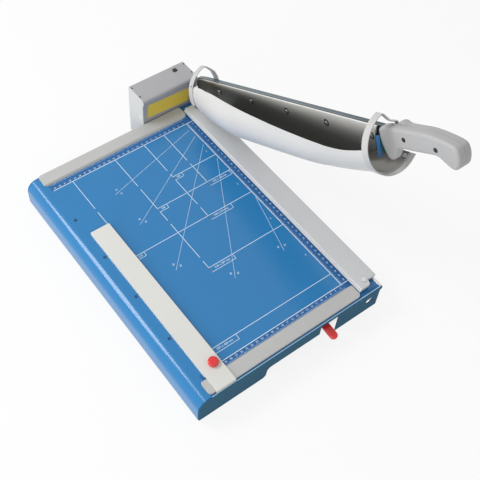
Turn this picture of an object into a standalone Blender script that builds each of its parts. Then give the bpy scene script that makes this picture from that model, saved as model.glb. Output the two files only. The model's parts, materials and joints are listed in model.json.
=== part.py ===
"""Guillotine paper cutter with a turning blade guard, a press bar, a side gauge and a laser line box.

Cutting frame: X = 0 is the cutting plane and the table lies at -X. Y = 0 is the foot of the back stop
and the operator stands at -Y. Z = 0 is the table's top. The empty "cutting_frame" sets this frame so
that the world's origin is the middle of the back right foot's underside, on the desk.

Arm frame: the arm's pieces hang from the empty "arm_pivot" on the hinge line. Their outlines are given as
(along, rise): along the knife's edge line from the point that lies over the back stop when the arm is
open, and square to that line, upwards. The arm is modelled open.
"""
import math

import bmesh
import bpy
import numpy as np
from mathutils import Matrix, Vector

# Clearances and common sizes, in metres
gap = 0.0003
weld = 0.00001
overrun = 0.002
edge_round = 0.0006

# Table and base
table_width = 0.366
table_back = 0.0265
table_front = 0.4865
sheet = 0.002
roll_radius = 0.020
desk_drop = 0.053
skirt_drop = 0.050
skirt_right = 0.0045
grip_left_inset = 0.129
grip_right = 0.130
grip_drop = 0.026
grip_round = 0.008
lever_notch_right = 0.094
lever_notch_drop = 0.0045
access_hole_x = 0.025
access_hole_drop = 0.022
access_hole_radius = 0.007
corner_ear_drop = 0.008
corner_ear_reach = 0.0035
wall_flange = 0.012
beam_width = 0.0080
beam_height = 0.042
channel_width = 0.030
channel_front_inset = 0.0815
channel_back_y = 0.005
foot_radius = 0.011
foot_right_x = 0.040
foot_left_inset = 0.036
foot_bevel = 0.0012
rivet_radius = 0.0025
rivet_height = 0.0008
rivet_line_inset = 0.029
rivet_first_y = 0.0901
rivet_pitch = 0.0925
rivet_count = 4

# Counter knife in the table's edge
counter_width = 0.0057
counter_height = 0.018

# Stops
stop_height = 0.0046
stop_width = 0.026
stop_slope = 0.0025
stop_left_inset = 0.023
stop_right_x = 0.0437
front_stop_inset = 0.031
stop_round = 0.006

# Hinge of the arm
pivot_y = 0.012
pivot_z = 0.016
open_angle = math.radians(29.0)
pivot_radius = 0.006
block_left = 0.0135
block_right = 0.0010
block_reach = 0.0115
block_drop = 0.044
pivot_head_radius = 0.010
pivot_head_height = 0.006
pivot_collar_radius = 0.0115
pivot_nut_height = 0.0055

# Arm, knife and knife bolts
knife_side = 0.00015
knife_thickness = 0.0028
bar_thickness = 0.0090
bar_bottom = 0.031
bar_reach = 0.500
bar_rise = 0.0613
bar_top_shares = [(-0.016, 0.930), (0.020, 0.958), (0.090, 0.970), (0.370, 0.975), (0.684, 0.982),
                  (0.916, 0.998), (0.984, 1.0)]
boss_radius = 0.0175
boss_neck = 0.048
knife_toe_inset = 0.0207
knife_edge_shares = [0.0292 + 0.0632 * step for step in range(15)]
knife_toe_length = 0.0413
knife_toe_shares = [(0.2421, 0.1305), (0.4843, 0.2529), (0.7869, 0.3344), (0.8402, 0.7259)]
knife_top_shares = [-0.0188 + 0.0679 * step for step in range(16)]
knife_heel_shares = [(-0.0219, 0.720), (-0.0167, 0.555)]
knife_top_step = 0.0005
knife_edge_rise = 0.0030
knife_belly = 0.0028
bolt_first = 0.0675
bolt_last_inset = 0.0345
bolt_count = 5
bolt_rise = 0.0428
bolt_radius = 0.0025
bolt_head_radius = 0.0042
bolt_head_height = 0.0010
nut_radius = 0.0052
nut_height = 0.0040

# Handle
handle_middle_x = 0.0060
handle_half = 0.0135
handle_round = 0.0050
handle_seam = 0.00015
handle_inset = 0.0093
handle_length = 0.1443
handle_low = 0.0168
handle_height = 0.0567
handle_shares = [(0.4317, 0.4268), (0.6258, 0.4709), (0.7367, 0.4797), (0.8198, 0.3651), (0.9099, 0.2504),
                 (0.9723, 0.3210), (1.0, 0.5503), (0.9861, 0.7795), (0.9376, 0.8765), (0.8267, 0.9418),
                 (0.6292, 1.0), (0.4179, 0.9735)]
nose_left_shares = [(0.2723, 0.9383), (0.1199, 0.9206), (0.0090, 0.8236), (0.0, 0.6208), (0.0132, 0.4180),
                    (0.0437, 0.1975), (0.0804, 0.0441), (0.1199, 0.0), (0.1649, 0.0741), (0.2065, 0.2593),
                    (0.2481, 0.3651), (0.3208, 0.4092)]
nose_right_shares = [(0.3139, 0.9647), (0.2446, 1.0176), (0.1892, 0.9383), (0.1857, 0.6914),
                     (0.1996, 0.4974), (0.2723, 0.4180)]
screw_shares = [(0.3389, 0.6966), (0.7353, 0.6631)]
tang_start_lead = 0.012
tang_shoulder_lead = 0.017
tang_end_lead = 0.110
tang_low = 0.047
tang_high = 0.062
slot_inset = 0.020
slot_top = 0.063
handle_screw_radius = 0.0032
handle_screw_sink = 0.0020

# Guard: two hoops on the arm and the trough that turns in them
guard_rise = 0.0454
trough_radius = 0.0477
trough_wall = 0.0015
trough_belly = 0.0190
trough_start = 0.0530
trough_end_lead = 0.0035
trough_around = 22
rim_station_shares = [0.0, 0.0156, 0.0289, 0.0467, 0.0734, 0.1001, 0.1357, 0.1891, 0.2447, 0.3448,
                      0.4360, 0.5273, 0.6096, 0.6941, 0.7586, 0.8165, 0.8854, 0.9455, 0.9855, 1.0]
rim_degrees = [160.0, 150.0, 150.0, 150.5, 151.5, 153.5, 154.8, 159.0, 163.6, 170.7,
               176.0, 181.0, 184.8, 188.0, 189.6, 190.3, 187.0, 180.5, 175.0, 173.0]
rim_right_degrees = 313.0
belly_station_shares = [0.0, 0.0156, 0.1046, 0.2269, 0.3270, 0.6385, 0.7720, 0.8610, 0.9499, 0.9855, 1.0]
belly_depth_shares = [0.0, 0.0, 0.52, 0.98, 1.0, 0.98, 0.74, 0.48, 0.14, 0.0, 0.0]
belly_fullness = 1.4
hoop_clearance = 0.0004
hoop_wall = 0.0015
hoop_width = 0.0120
hoop_front_lead = 0.001
hoop_back_start = 0.0445
hoop_tab_degrees = 107.0
hoop_front_degrees = 313.0
hoop_back_degrees = 193.0
front_tab_inset = 0.0035
front_tab_width = 0.0085
back_tab_start = 0.0360
back_tab_width = 0.0158
tab_foot = 0.020
tab_rise = 0.0665

# Press bar
press_left = 0.0400
press_right = 0.0010
press_lip = 0.0024
press_top = 0.0105
press_bottom = 0.0035
press_wall = 0.0030
press_lip_top = 0.0068
press_left_inset = 0.0105
press_right_inset = 0.0200
press_step_x = 0.0180
press_back = 0.0120
press_back_notch_x = 0.0220
press_back_notch_y = 0.0030
press_round = 0.0045
press_screw_x = 0.0245
press_screw_inset = 0.0225
press_screw_radius = 0.0042
press_screw_height = 0.0012
press_pin_radius = 0.0040
press_pin_x = 0.0290
press_pin_inset = 0.0565
press_pin_back_y = 0.0400
press_pin_drop = 0.022
press_collar_radius = 0.0065
press_collar_height = 0.0020

# Side gauge
gauge_left_inset = 0.034
gauge_width = 0.0355
gauge_back_y = 0.132
gauge_front_inset = 0.0025
gauge_top = 0.0076
gauge_floor = 0.0005
gauge_wall = 0.0022
knob_left_inset = 0.0230
knob_front_inset = 0.0435
knob_radius = 0.0085
knob_height = 0.0095
stud_radius = 0.0025

# Lever in the front notch
lever_pivot_x = 0.1140
lever_pivot_inset = 0.0295
lever_round_share = 0.9
lever_drop = 0.0190
lever_thickness = 0.0030
lever_width = 0.0110
lever_reach = 0.0330
grip_width = 0.0140
grip_length = 0.0230
grip_thickness = 0.0080
grip_slope = math.radians(38.0)
lever_pin_radius = 0.0040
lever_pin_foot = 0.0030

# Laser box
laser_left_x = 0.1214
laser_right_x = 0.0016
laser_front_y = 0.0280
laser_back_y = 0.0750
laser_top = 0.0600
laser_bottom = 0.0495
laser_sheet = 0.0015
laser_lip = 0.0028
laser_lip_drop = 0.0100
laser_nose_round = 0.0054
laser_lip_round = 0.0024
laser_inset = 0.0060
button_size = 0.0070
button_height = 0.0024
button_travel = 0.0012
button_x = 0.0278
button_y = 0.0619
lens_radius = 0.0045
lens_reach = 0.0030
lens_rise = 0.0400

# Latch pieces beside the handle
latch_inset = 0.0291
latch_low = 0.0105
latch_width = 0.0111
latch_height = 0.0355
latch_shares = [(0.0, 0.0), (0.676, 0.042), (1.0, 1.0), (0.207, 0.961)]
latch_thickness = 0.0024
cam_thickness = 0.0026
cam_inset = 0.0183
cam_low = 0.0201
cam_width = 0.0143
cam_height = 0.0259
cam_shares = [(0.070, 1.0), (0.476, 0.996), (0.580, 0.737), (0.790, 0.452), (1.0, 0.131), (0.364, 0.0),
              (0.119, 0.093), (0.0, 0.568)]

# Places that follow from the sizes above
grip_left = table_width - grip_left_inset
foot_left_x = table_width - foot_left_inset
rivet_line_x = table_width - rivet_line_inset
stop_left_x = table_width - stop_left_inset
gauge_left_x = table_width - gauge_left_inset
knob_x = gauge_left_x - knob_left_inset
channel_front_y = table_front - channel_front_inset
front_stop_inner_y = table_front - front_stop_inset
press_front_left = table_front - press_left_inset
press_front_right = table_front - press_right_inset
press_screw_y = table_front - press_screw_inset
press_pin_front_y = table_front - press_pin_inset
gauge_front_y = table_front - gauge_front_inset
knob_y = table_front - knob_front_inset
lever_pivot_y = table_front - lever_pivot_inset
knife_toe = bar_reach - knife_toe_inset
bolt_pitch = (bar_reach - bolt_last_inset - bolt_first) / (bolt_count - 1)
handle_back = bar_reach - handle_inset
tang_start = bar_reach + tang_start_lead
tang_shoulder = bar_reach + tang_shoulder_lead
tang_end = bar_reach + tang_end_lead
slot_back = bar_reach - slot_inset
trough_length = bar_reach + trough_end_lead - trough_start
hoop_front_start = bar_reach + hoop_front_lead
latch_back = bar_reach - latch_inset
cam_back = bar_reach - cam_inset
pivot_along = pivot_z * math.sin(open_angle) - pivot_y * math.cos(open_angle)
pivot_rise = pivot_y * math.sin(open_angle) + pivot_z * math.cos(open_angle)
bar_left = knife_side + knife_thickness + gap
bar_right = bar_left + bar_thickness
hoop_inner = trough_radius + hoop_clearance

for old in list(bpy.data.objects):
    bpy.data.objects.remove(old, do_unlink=True)

scene = bpy.context.scene
parts = bpy.data.collections.new("guillotine_paper_cutter")
cutters = bpy.data.collections.new("cutters")
scene.collection.children.link(parts)
scene.collection.children.link(cutters)


def finish(name, colour, roughness, metallic):
    """A plain material with the part's colour."""
    made = bpy.data.materials.new(name)
    made.use_nodes = True
    shader = made.node_tree.nodes["Principled BSDF"]
    shader.inputs["Base Color"].default_value = (*colour, 1.0)
    shader.inputs["Roughness"].default_value = roughness
    shader.inputs["Metallic"].default_value = metallic
    made.diffuse_color = (*colour, 1.0)
    return made


blue_paint = finish("blue_paint", (0.045, 0.155, 0.330), 0.40, 0.0)
dark_steel = finish("dark_steel", (0.040, 0.042, 0.045), 0.25, 1.0)
arm_paint = finish("arm_paint", (0.075, 0.135, 0.200), 0.40, 0.2)
bright_steel = finish("bright_steel", (0.62, 0.62, 0.62), 0.25, 1.0)
zinc_steel = finish("zinc_steel", (0.45, 0.46, 0.47), 0.40, 1.0)
stop_alloy = finish("stop_alloy", (0.52, 0.52, 0.50), 0.45, 0.3)
guard_grey = finish("guard_grey", (0.62, 0.62, 0.60), 0.45, 0.0)
press_grey = finish("press_grey", (0.42, 0.42, 0.41), 0.45, 0.2)
gauge_grey = finish("gauge_grey", (0.66, 0.66, 0.64), 0.45, 0.0)
handle_grey = finish("handle_grey", (0.38, 0.40, 0.41), 0.50, 0.0)
box_grey = finish("box_grey", (0.36, 0.37, 0.38), 0.45, 0.2)
box_light = finish("box_light", (0.58, 0.58, 0.58), 0.45, 0.1)
red_plastic = finish("red_plastic", (0.62, 0.025, 0.025), 0.35, 0.0)
black_plastic = finish("black_plastic", (0.012, 0.012, 0.013), 0.40, 0.0)
black_rubber = finish("black_rubber", (0.020, 0.020, 0.020), 0.80, 0.0)
latch_blue = finish("latch_blue", (0.060, 0.190, 0.420), 0.45, 0.0)
latch_teal = finish("latch_teal", (0.015, 0.085, 0.095), 0.45, 0.0)


def empty(name, place, parent=None, turn=(0.0, 0.0, 0.0)):
    """A frame that carries pieces."""
    made = bpy.data.objects.new(name, None)
    made.location = place
    made.rotation_euler = turn
    made.parent = parent
    parts.objects.link(made)
    return made


def add(name, mesh, parent, look=None, place=(0.0, 0.0, 0.0), turn=(0.0, 0.0, 0.0)):
    """Put a mesh in the model as a named piece, or as a cutter when it has no material."""
    mesh.name = name
    made = bpy.data.objects.new(name, mesh)
    made.location = place
    made.rotation_euler = turn
    made.parent = parent
    if look is None:
        cutters.objects.link(made)
        made.hide_render = True
        made.display_type = "WIRE"
        return made
    parts.objects.link(made)
    mesh.materials.clear()
    mesh.materials.append(look)
    mesh.shade_smooth()
    mesh.set_sharp_from_angle(angle=math.radians(35.0))
    return made


def boolean(target, tool, operation="DIFFERENCE"):
    """Cut or join with an exact Boolean modifier."""
    step = target.modifiers.new(operation.lower(), "BOOLEAN")
    step.operation = operation
    step.solver = "EXACT"
    step.object = tool


def joined(meshes):
    """One mesh that holds several separate solids."""
    shape = bmesh.new()
    for mesh in meshes:
        shape.from_mesh(mesh)
    made = bpy.data.meshes.new("joined")
    shape.to_mesh(made)
    shape.free()
    return made


def block_mesh(low, high, bevel=0.0):
    """A box between two corners, its edges rounded by the bevel."""
    shape = bmesh.new()
    bmesh.ops.create_cube(shape, size=1.0)
    low_corner = Vector(low)
    span = Vector(high) - low_corner
    for vertex in shape.verts:
        share = Vector((vertex.co.x + 0.5, vertex.co.y + 0.5, vertex.co.z + 0.5))
        vertex.co = low_corner + Vector((share.x * span.x, share.y * span.y, share.z * span.z))
    if bevel:
        bmesh.ops.bevel(shape, geom=list(shape.edges), offset=bevel, segments=1, affect="EDGES")
    made = bpy.data.meshes.new("block")
    shape.to_mesh(made)
    shape.free()
    return made


def rod_mesh(radius, start, end, sides=32, end_radius=None):
    """A straight round bar, or a cone with another radius at its end."""
    first = Vector(start)
    run = Vector(end) - first
    shape = bmesh.new()
    bmesh.ops.create_cone(
        shape, cap_ends=True, segments=sides, radius1=radius,
        radius2=radius if end_radius is None else end_radius, depth=run.length)
    aim = run.to_track_quat("Z", "Y").to_matrix().to_4x4()
    bmesh.ops.transform(shape, matrix=Matrix.Translation(first + run / 2) @ aim, verts=shape.verts)
    made = bpy.data.meshes.new("rod")
    shape.to_mesh(made)
    shape.free()
    return made


plane_axes = {
    "xy": ((1, 0, 0), (0, 1, 0), (0, 0, 1)),
    "xz": ((1, 0, 0), (0, 0, 1), (0, -1, 0)),
    "yz": ((0, 1, 0), (0, 0, 1), (1, 0, 0)),
}


def plane_matrix(plane, middle):
    """Carries a curve's own X, Y and Z to the plane's two axes and its normal."""
    first, second, normal = (Vector(axis) for axis in plane_axes[plane])
    turn = Matrix((first, second, normal)).transposed().to_4x4()
    shift = Vector([abs(share) * middle for share in normal])
    return Matrix.Translation(shift) @ turn


def prism_mesh(outline, plane, low, high, holes=()):
    """A flat outline of the plane, extruded square to it from low to high."""
    curve = bpy.data.curves.new("outline", "CURVE")
    curve.dimensions = "2D"
    curve.fill_mode = "BOTH"
    curve.extrude = (high - low) / 2
    for loop in (outline, *holes):
        spline = curve.splines.new("POLY")
        spline.points.add(len(loop) - 1)
        for point, (first, second) in zip(spline.points, loop):
            point.co = (first, second, 0.0, 1.0)
        spline.use_cyclic_u = True
    drawn = bpy.data.objects.new("outline", curve)
    scene.collection.objects.link(drawn)
    bpy.context.view_layer.update()
    made = bpy.data.meshes.new_from_object(drawn.evaluated_get(bpy.context.evaluated_depsgraph_get()))
    bpy.data.objects.remove(drawn, do_unlink=True)
    bpy.data.curves.remove(curve)
    shape = bmesh.new()
    shape.from_mesh(made)
    bmesh.ops.remove_doubles(shape, verts=shape.verts, dist=weld)
    bmesh.ops.transform(shape, matrix=plane_matrix(plane, (low + high) / 2), verts=shape.verts)
    bmesh.ops.recalc_face_normals(shape, faces=shape.faces)
    shape.to_mesh(made)
    shape.free()
    return made


def sheet_mesh(path, plane, low, high):
    """An open surface: a line of the plane, carried square to it from low to high."""
    shape = bmesh.new()
    matrix = plane_matrix(plane, 0.0)
    normal = Vector([abs(share) for share in plane_axes[plane][2]])
    rows = []
    for height in (low, high):
        rows.append([shape.verts.new(matrix @ Vector((*point, 0.0)) + normal * height) for point in path])
    for step in range(len(path) - 1):
        shape.faces.new((rows[0][step], rows[0][step + 1], rows[1][step + 1], rows[1][step]))
    made = bpy.data.meshes.new("sheet")
    shape.to_mesh(made)
    shape.free()
    return made


def thicken(piece, thickness, side):
    """Give an open surface its wall, on one side of it."""
    step = piece.modifiers.new("wall", "SOLIDIFY")
    step.thickness = thickness
    step.offset = side
    step.use_even_offset = True
    step.use_quality_normals = True


def rounded(corners, steps=5):
    """An outline of (u, v, radius) corners, each corner with a radius drawn as an arc."""
    points = []
    count = len(corners)
    for index, (u, v, radius) in enumerate(corners):
        here = Vector((u, v))
        if not radius:
            points.append((u, v))
            continue
        before = Vector(corners[index - 1][:2]) - here
        after = Vector(corners[(index + 1) % count][:2]) - here
        half = before.angle(after) / 2
        reach = radius / math.tan(half)
        start = here + before.normalized() * reach
        centre = here + (before.normalized() + after.normalized()).normalized() * (radius / math.sin(half))
        arm = start - centre
        sweep = math.pi - 2 * half
        if before.x * after.y - before.y * after.x > 0:
            sweep = -sweep
        for step in range(steps + 1):
            spin = Matrix.Rotation(sweep * step / steps, 2)
            points.append(tuple(centre + spin @ arm))
    return points


def circle(u, v, radius, sides=32):
    """A round outline."""
    spins = [2 * math.pi * side / sides for side in range(sides)]
    return [(u + radius * math.cos(spin), v + radius * math.sin(spin)) for spin in spins]


def smooth(points, steps=3, closed=True):
    """A smooth curve through the points."""
    known = [Vector(point) for point in points]
    count = len(known)
    drawn = []
    for index in range(count if closed else count - 1):
        ring = [known[(index + shift) % count] for shift in (-1, 0, 1, 2)]
        if not closed:
            ring[0] = known[max(index - 1, 0)]
            ring[3] = known[min(index + 2, count - 1)]
        for step in range(steps):
            t = step / steps
            drawn.append(tuple(
                ring[1] + (ring[2] - ring[0]) * (t / 2)
                + (ring[0] * 2 - ring[1] * 5 + ring[2] * 4 - ring[3]) * (t * t / 2)
                + (ring[1] * 3 - ring[0] - ring[2] * 3 + ring[3]) * (t ** 3 / 2)))
    if not closed:
        drawn.append(tuple(known[-1]))
    return drawn


def turned_mesh(profile):
    """A profile that spin() turns about Z: from the top's middle down its outer side to the foot."""
    shape = bmesh.new()
    line = [shape.verts.new((radius, 0.0, height)) for radius, height in profile]
    for first, second in zip(line, line[1:]):
        shape.edges.new((first, second))
    made = bpy.data.meshes.new("turned")
    shape.to_mesh(made)
    shape.free()
    return made


def spin(piece, sides=32):
    """Turn a profile about Z with a Screw modifier."""
    step = piece.modifiers.new("turn", "SCREW")
    step.steps = sides
    step.render_steps = sides
    step.use_merge_vertices = True
    step.merge_threshold = weld
    step.use_smooth_shade = True


def framed(shares, corner, size):
    """Points given as shares of a box, whose lowest corner and size are in metres."""
    return [(corner[0] + first * size[0], corner[1] + second * size[1]) for first, second in shares]


def arm_outline(points):
    """Carry (along, rise) points to the arm frame's Y and Z."""
    return [(pivot_along - along, rise - pivot_rise) for along, rise in points]


def make_base(frame):
    """The folded steel table, its skirts, the beam under the cutting edge, two channels and the feet."""
    edge = counter_width + 2 * gap
    flat_end = roll_radius - table_width
    drop = -skirt_drop + overrun
    arc_steps = 8
    arc = [(flat_end - roll_radius * math.sin(quarter), roll_radius * (math.cos(quarter) - 1))
           for quarter in (math.pi / 2 * step / arc_steps for step in range(arc_steps + 1))]
    path = [(-edge - gap, 0.0), *arc, (-table_width, drop), (-table_width + wall_flange, drop)]
    table = add("table_top", sheet_mesh(path, "xz", -table_front + sheet + gap, table_back - sheet - gap),
                frame, blue_paint)
    thicken(table, sheet, 1.0)
    pin_holes = [rod_mesh(press_pin_radius + gap, (-press_pin_x, -y, -sheet - overrun),
                          (-press_pin_x, -y, overrun)) for y in (press_pin_front_y, press_pin_back_y)]
    pivot_slot = block_mesh((-block_left - gap, pivot_y - block_reach - gap, -beam_height),
                            (overrun, table_back, overrun))
    boolean(table, add("table_cuts", joined([*pin_holes, pivot_slot]), frame))

    left_corner = (-table_width, 0.0, roll_radius)
    front = rounded([
        (-skirt_right + corner_ear_reach, 0.0, 0.0),
        left_corner,
        (-table_width, -skirt_drop, 2 * sheet),
        (-grip_left, -skirt_drop, grip_round),
        (-grip_left + sheet, -grip_drop, grip_round),
        (-grip_right, -grip_drop, sheet),
        (-grip_right, -lever_notch_drop, sheet),
        (-lever_notch_right, -lever_notch_drop, sheet),
        (-lever_notch_right, -skirt_drop, sheet),
        (-skirt_right, -skirt_drop, sheet),
        (-skirt_right, -corner_ear_drop, 0.0),
        (-skirt_right + corner_ear_reach, -corner_ear_drop + sheet, 0.0)])
    hole = circle(-access_hole_x, -access_hole_drop, access_hole_radius)
    add("front_skirt", prism_mesh(front, "xz", -table_front, -table_front + sheet, [hole]), frame, blue_paint)
    back = rounded([
        (-block_left - gap, 0.0, 0.0),
        left_corner,
        (-table_width, -skirt_drop, 2 * sheet),
        (-block_left - gap, -skirt_drop, sheet)])
    add("back_skirt", prism_mesh(back, "xz", table_back - sheet, table_back), frame, blue_paint)

    beam_low = (-edge - beam_width, -table_front + sheet + gap, -beam_height)
    beam_high = (-edge, pivot_y - block_reach - gap, -sheet - gap)
    add("edge_beam", block_mesh(beam_low, beam_high, edge_round), frame, zinc_steel)

    for name, y in (("front_channel", -channel_front_y), ("back_channel", -channel_back_y)):
        low, high = y - channel_width / 2, y + channel_width / 2
        floor = -desk_drop + foot_height()
        path = [(low, -sheet - gap), (low, floor), (high, floor), (high, -sheet - gap)]
        channel = add(name, sheet_mesh(path, "yz", flat_end, beam_low[0] - gap), frame, zinc_steel)
        thicken(channel, sheet, -1.0)
        holes = [rod_mesh(press_pin_radius + gap, (-press_pin_x, -spot, -sheet - overrun),
                          (-press_pin_x, -spot, overrun)) for spot in (press_pin_front_y, press_pin_back_y)]
        boolean(channel, add(name + "_holes", joined(holes), frame))

    foot_top = -desk_drop + foot_height() - gap
    profile = [(0.0, foot_top), (foot_radius - foot_bevel, foot_top), (foot_radius, -desk_drop + foot_bevel),
               (foot_radius - foot_bevel, -desk_drop), (0.0, -desk_drop)]
    for name, x, y in (("foot_back_right", foot_right_x, channel_back_y),
                       ("foot_back_left", foot_left_x, channel_back_y),
                       ("foot_front_right", foot_right_x, channel_front_y),
                       ("foot_front_left", foot_left_x, channel_front_y)):
        foot = add(name, turned_mesh(profile), frame, black_rubber, (-x, -y, 0.0))
        spin(foot, 24)

    for index in range(rivet_count):
        y = -rivet_first_y - rivet_pitch * index
        rivet = rod_mesh(rivet_radius, (-rivet_line_x, y, gap), (-rivet_line_x, y, gap + rivet_height), 16)
        add(f"table_rivet_{index + 1}", rivet, frame, bright_steel)


def foot_height():
    """Height of a rubber foot, from the desk to the channel's floor."""
    return desk_drop - beam_height - sheet


def make_counter_knife(frame):
    """The ground steel bar of the table's edge, flush with its top."""
    low = (-counter_width - gap, -table_front + sheet + gap, -counter_height)
    high = (-gap, pivot_y - block_reach - gap, 0.0)
    add("counter_knife", block_mesh(low, high, gap), frame, bright_steel)


def make_stops(frame):
    """The two raised rails that square the sheet."""
    top = stop_height
    back = rounded([(0.0, gap, 0.0), (stop_slope, top, edge_round), (stop_width, top, edge_round),
                    (stop_width, gap, 0.0)], 2)
    front = [(-front_stop_inner_y - u, v) for u, v in back]
    front_y = -front_stop_inner_y - stop_width
    for name, profile, y in (("back_stop", back, 0.0), ("front_stop", front, front_y)):
        rail = add(name, prism_mesh(profile, "yz", -stop_left_x, -stop_right_x), frame, stop_alloy)
        far_y = y + stop_width
        plan = rounded([(-stop_left_x, y, stop_round), (-stop_right_x, y, stop_round),
                        (-stop_right_x, far_y, stop_round), (-stop_left_x, far_y, stop_round)])
        tool = add(name + "_plan", prism_mesh(plan, "xy", -overrun, top + overrun), frame)
        boolean(rail, tool, "INTERSECT")


def make_pivot(frame):
    """The block at the back corner with the bolt on which the arm swings."""
    left, right = -block_left, -block_right
    low_y, high_y = pivot_y - block_reach, pivot_y + block_reach
    arc_steps = 12
    arc = [(pivot_y + block_reach * math.cos(angle), pivot_z + block_reach * math.sin(angle))
           for angle in (math.pi * step / arc_steps for step in range(arc_steps + 1))]
    outline = [(low_y, -block_drop), (high_y, -block_drop), *arc]
    bolt_hole = circle(pivot_y, pivot_z, pivot_radius + gap, 40)
    add("pivot_block", prism_mesh(outline, "yz", left, right, [bolt_hole]), frame, zinc_steel)
    middle = (pivot_y, pivot_z)
    nut_left = left - gap - pivot_nut_height
    bolt_end = bar_right + 2 * gap + sheet
    add("pivot_bolt", rod_mesh(pivot_radius, (nut_left - sheet, *middle), (bolt_end, *middle), 40),
        frame, bright_steel)
    collar = prism_mesh(circle(*middle, pivot_collar_radius, 40), "yz", right + gap, bar_left - gap,
                        [circle(*middle, pivot_radius + gap, 40)])
    add("pivot_collar", collar, frame, bright_steel)
    head_start = bar_right + gap
    head = prism_mesh(circle(*middle, pivot_head_radius, 6), "yz", head_start, head_start + pivot_head_height,
                      [circle(*middle, pivot_radius + gap, 40)])
    add("pivot_nut", head, frame, zinc_steel)
    nut = prism_mesh(circle(*middle, pivot_head_radius, 6), "yz", nut_left, left - gap,
                     [circle(*middle, pivot_radius + gap, 40)])
    add("pivot_lock_nut", nut, frame, zinc_steel)


def make_arm(frame):
    """The arm bar with its pivot boss, the knife with its curved edge, and the bolts that hold it."""
    top_line = smooth(framed(bar_top_shares, (0.0, 0.0), (bar_reach, bar_rise)), 3, False)
    boss = [(pivot_along + boss_radius * math.cos(angle), pivot_rise + boss_radius * math.sin(angle))
            for angle in (math.radians(degrees) for degrees in range(110, 311, 20))]
    outline = [*boss, (boss_neck, bar_bottom), (bar_reach, bar_bottom), (tang_start, tang_low),
               (tang_end, tang_low), (tang_end, tang_high), (tang_shoulder, tang_high), *reversed(top_line)]
    bar = add("arm_bar", prism_mesh(arm_outline(outline), "yz", bar_left, bar_right,
                                    [circle(0.0, 0.0, pivot_radius + gap, 40)]), frame, arm_paint)
    blade_edge = [(knife_toe * share, knife_edge_rise - knife_belly * math.sin(math.pi * step / 14))
                  for step, share in enumerate(knife_edge_shares)]
    blade_top = [(knife_toe * share, float(np.interp(knife_toe * share, *zip(*top_line))) - knife_top_step)
                 for share in knife_top_shares]
    toe = framed(knife_toe_shares, (knife_toe - knife_toe_length, 0.0), (knife_toe_length, bar_rise))
    heel = framed(knife_heel_shares, (0.0, 0.0), (knife_toe, bar_rise))
    knife_outline = [*blade_edge, *toe, *reversed(blade_top), *heel]
    blade = prism_mesh(arm_outline(knife_outline), "yz", knife_side, knife_side + knife_thickness)
    knife = add("knife", blade, frame, dark_steel)
    knife_boss = rod_mesh(pivot_collar_radius + gap + edge_round, (-overrun, 0.0, 0.0),
                          (bar_left - gap / 2, 0.0, 0.0))
    first_bolt = pivot_along - bolt_first
    spots = [(first_bolt - bolt_pitch * index, bolt_rise - pivot_rise) for index in range(bolt_count)]
    holes = [rod_mesh(bolt_radius + gap, (-overrun, *spot), (bar_right + overrun, *spot), 20)
             for spot in spots]
    boolean(knife, add("knife_cuts", joined([*holes, knife_boss]), frame))
    boolean(bar, add("arm_bar_holes", joined([mesh.copy() for mesh in holes]), frame))
    head, foot = gap + bolt_head_height - knife_side, -bar_right - gap
    profile = [(0.0, head), (bolt_head_radius, head), (bolt_head_radius, gap - knife_side),
               (bolt_radius, gap - knife_side), (bolt_radius, foot), (nut_radius, foot),
               (nut_radius, foot - nut_height), (0.0, foot - nut_height)]
    for index, spot in enumerate(spots):
        bolt = add(f"knife_bolt_{index + 1}", turned_mesh(profile), frame, bright_steel,
                   (0.0, *spot), (0.0, -math.pi / 2, 0.0))
        spin(bolt, 20)


def make_handle(frame):
    """Two moulded halves on the arm's tang, with a finger hook at the front and a drooping end."""
    corner, size = (handle_back, handle_low), (handle_length, handle_height)
    left = smooth(framed([*handle_shares, *nose_left_shares], corner, size), 3)
    right = smooth(framed([*handle_shares, *nose_right_shares], corner, size), 3)
    middle = handle_middle_x
    slot = prism_mesh(arm_outline([(slot_back, bar_bottom - gap), (bar_reach + gap, bar_bottom - gap),
                                   (tang_start + gap, tang_low - gap), (tang_end + gap, tang_low - gap),
                                   (tang_end + gap, tang_high + gap), (tang_shoulder + gap, tang_high + gap),
                                   (tang_shoulder + gap, slot_top), (slot_back, slot_top)]),
                      "yz", bar_left - gap, bar_right + gap)
    tang = add("tang_slot", slot, frame)
    spots = arm_outline(framed(screw_shares, corner, size))
    for name, outline, low, high, side in (
            ("handle_left", left, middle - handle_half, middle - handle_seam, -1),
            ("handle_right", right, middle + handle_seam, middle + handle_half, 1)):
        mesh = prism_mesh(arm_outline(outline), "yz", low, high)
        shape = bmesh.new()
        shape.from_mesh(mesh)
        outer = low if side < 0 else high
        flat = [edge for edge in shape.edges if all(abs(vert.co.x - outer) < weld for vert in edge.verts)]
        rim = [edge for edge in flat if abs(edge.link_faces[0].normal.dot(edge.link_faces[1].normal)) < 0.5]
        bmesh.ops.bevel(shape, geom=rim, offset=handle_round, segments=3, profile=0.5, affect="EDGES")
        bmesh.ops.remove_doubles(shape, verts=shape.verts, dist=weld)
        shape.to_mesh(mesh)
        shape.free()
        half = add(name, mesh, frame, handle_grey)
        boolean(half, tang)
        wells = joined([rod_mesh(handle_screw_radius + gap, (outer - side * handle_screw_sink, *spot),
                                 (outer + side * overrun, *spot), 24) for spot in spots])
        boolean(half, add(name + "_wells", wells, frame))
    for index, spot in enumerate(spots):
        head = rod_mesh(handle_screw_radius, (middle - handle_half + gap, *spot),
                        (middle - handle_half + handle_screw_sink - gap, *spot), 24)
        add(f"handle_screw_{index + 1}", head, frame, dark_steel)


def hoop_path(first, last, steps):
    """Points of a hoop about the guard's axis, from one angle to another, as seen from the handle."""
    return [(hoop_inner * math.cos(angle), hoop_inner * math.sin(angle) + guard_rise - pivot_rise)
            for angle in np.radians(np.linspace(first, last, steps))]


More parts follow.
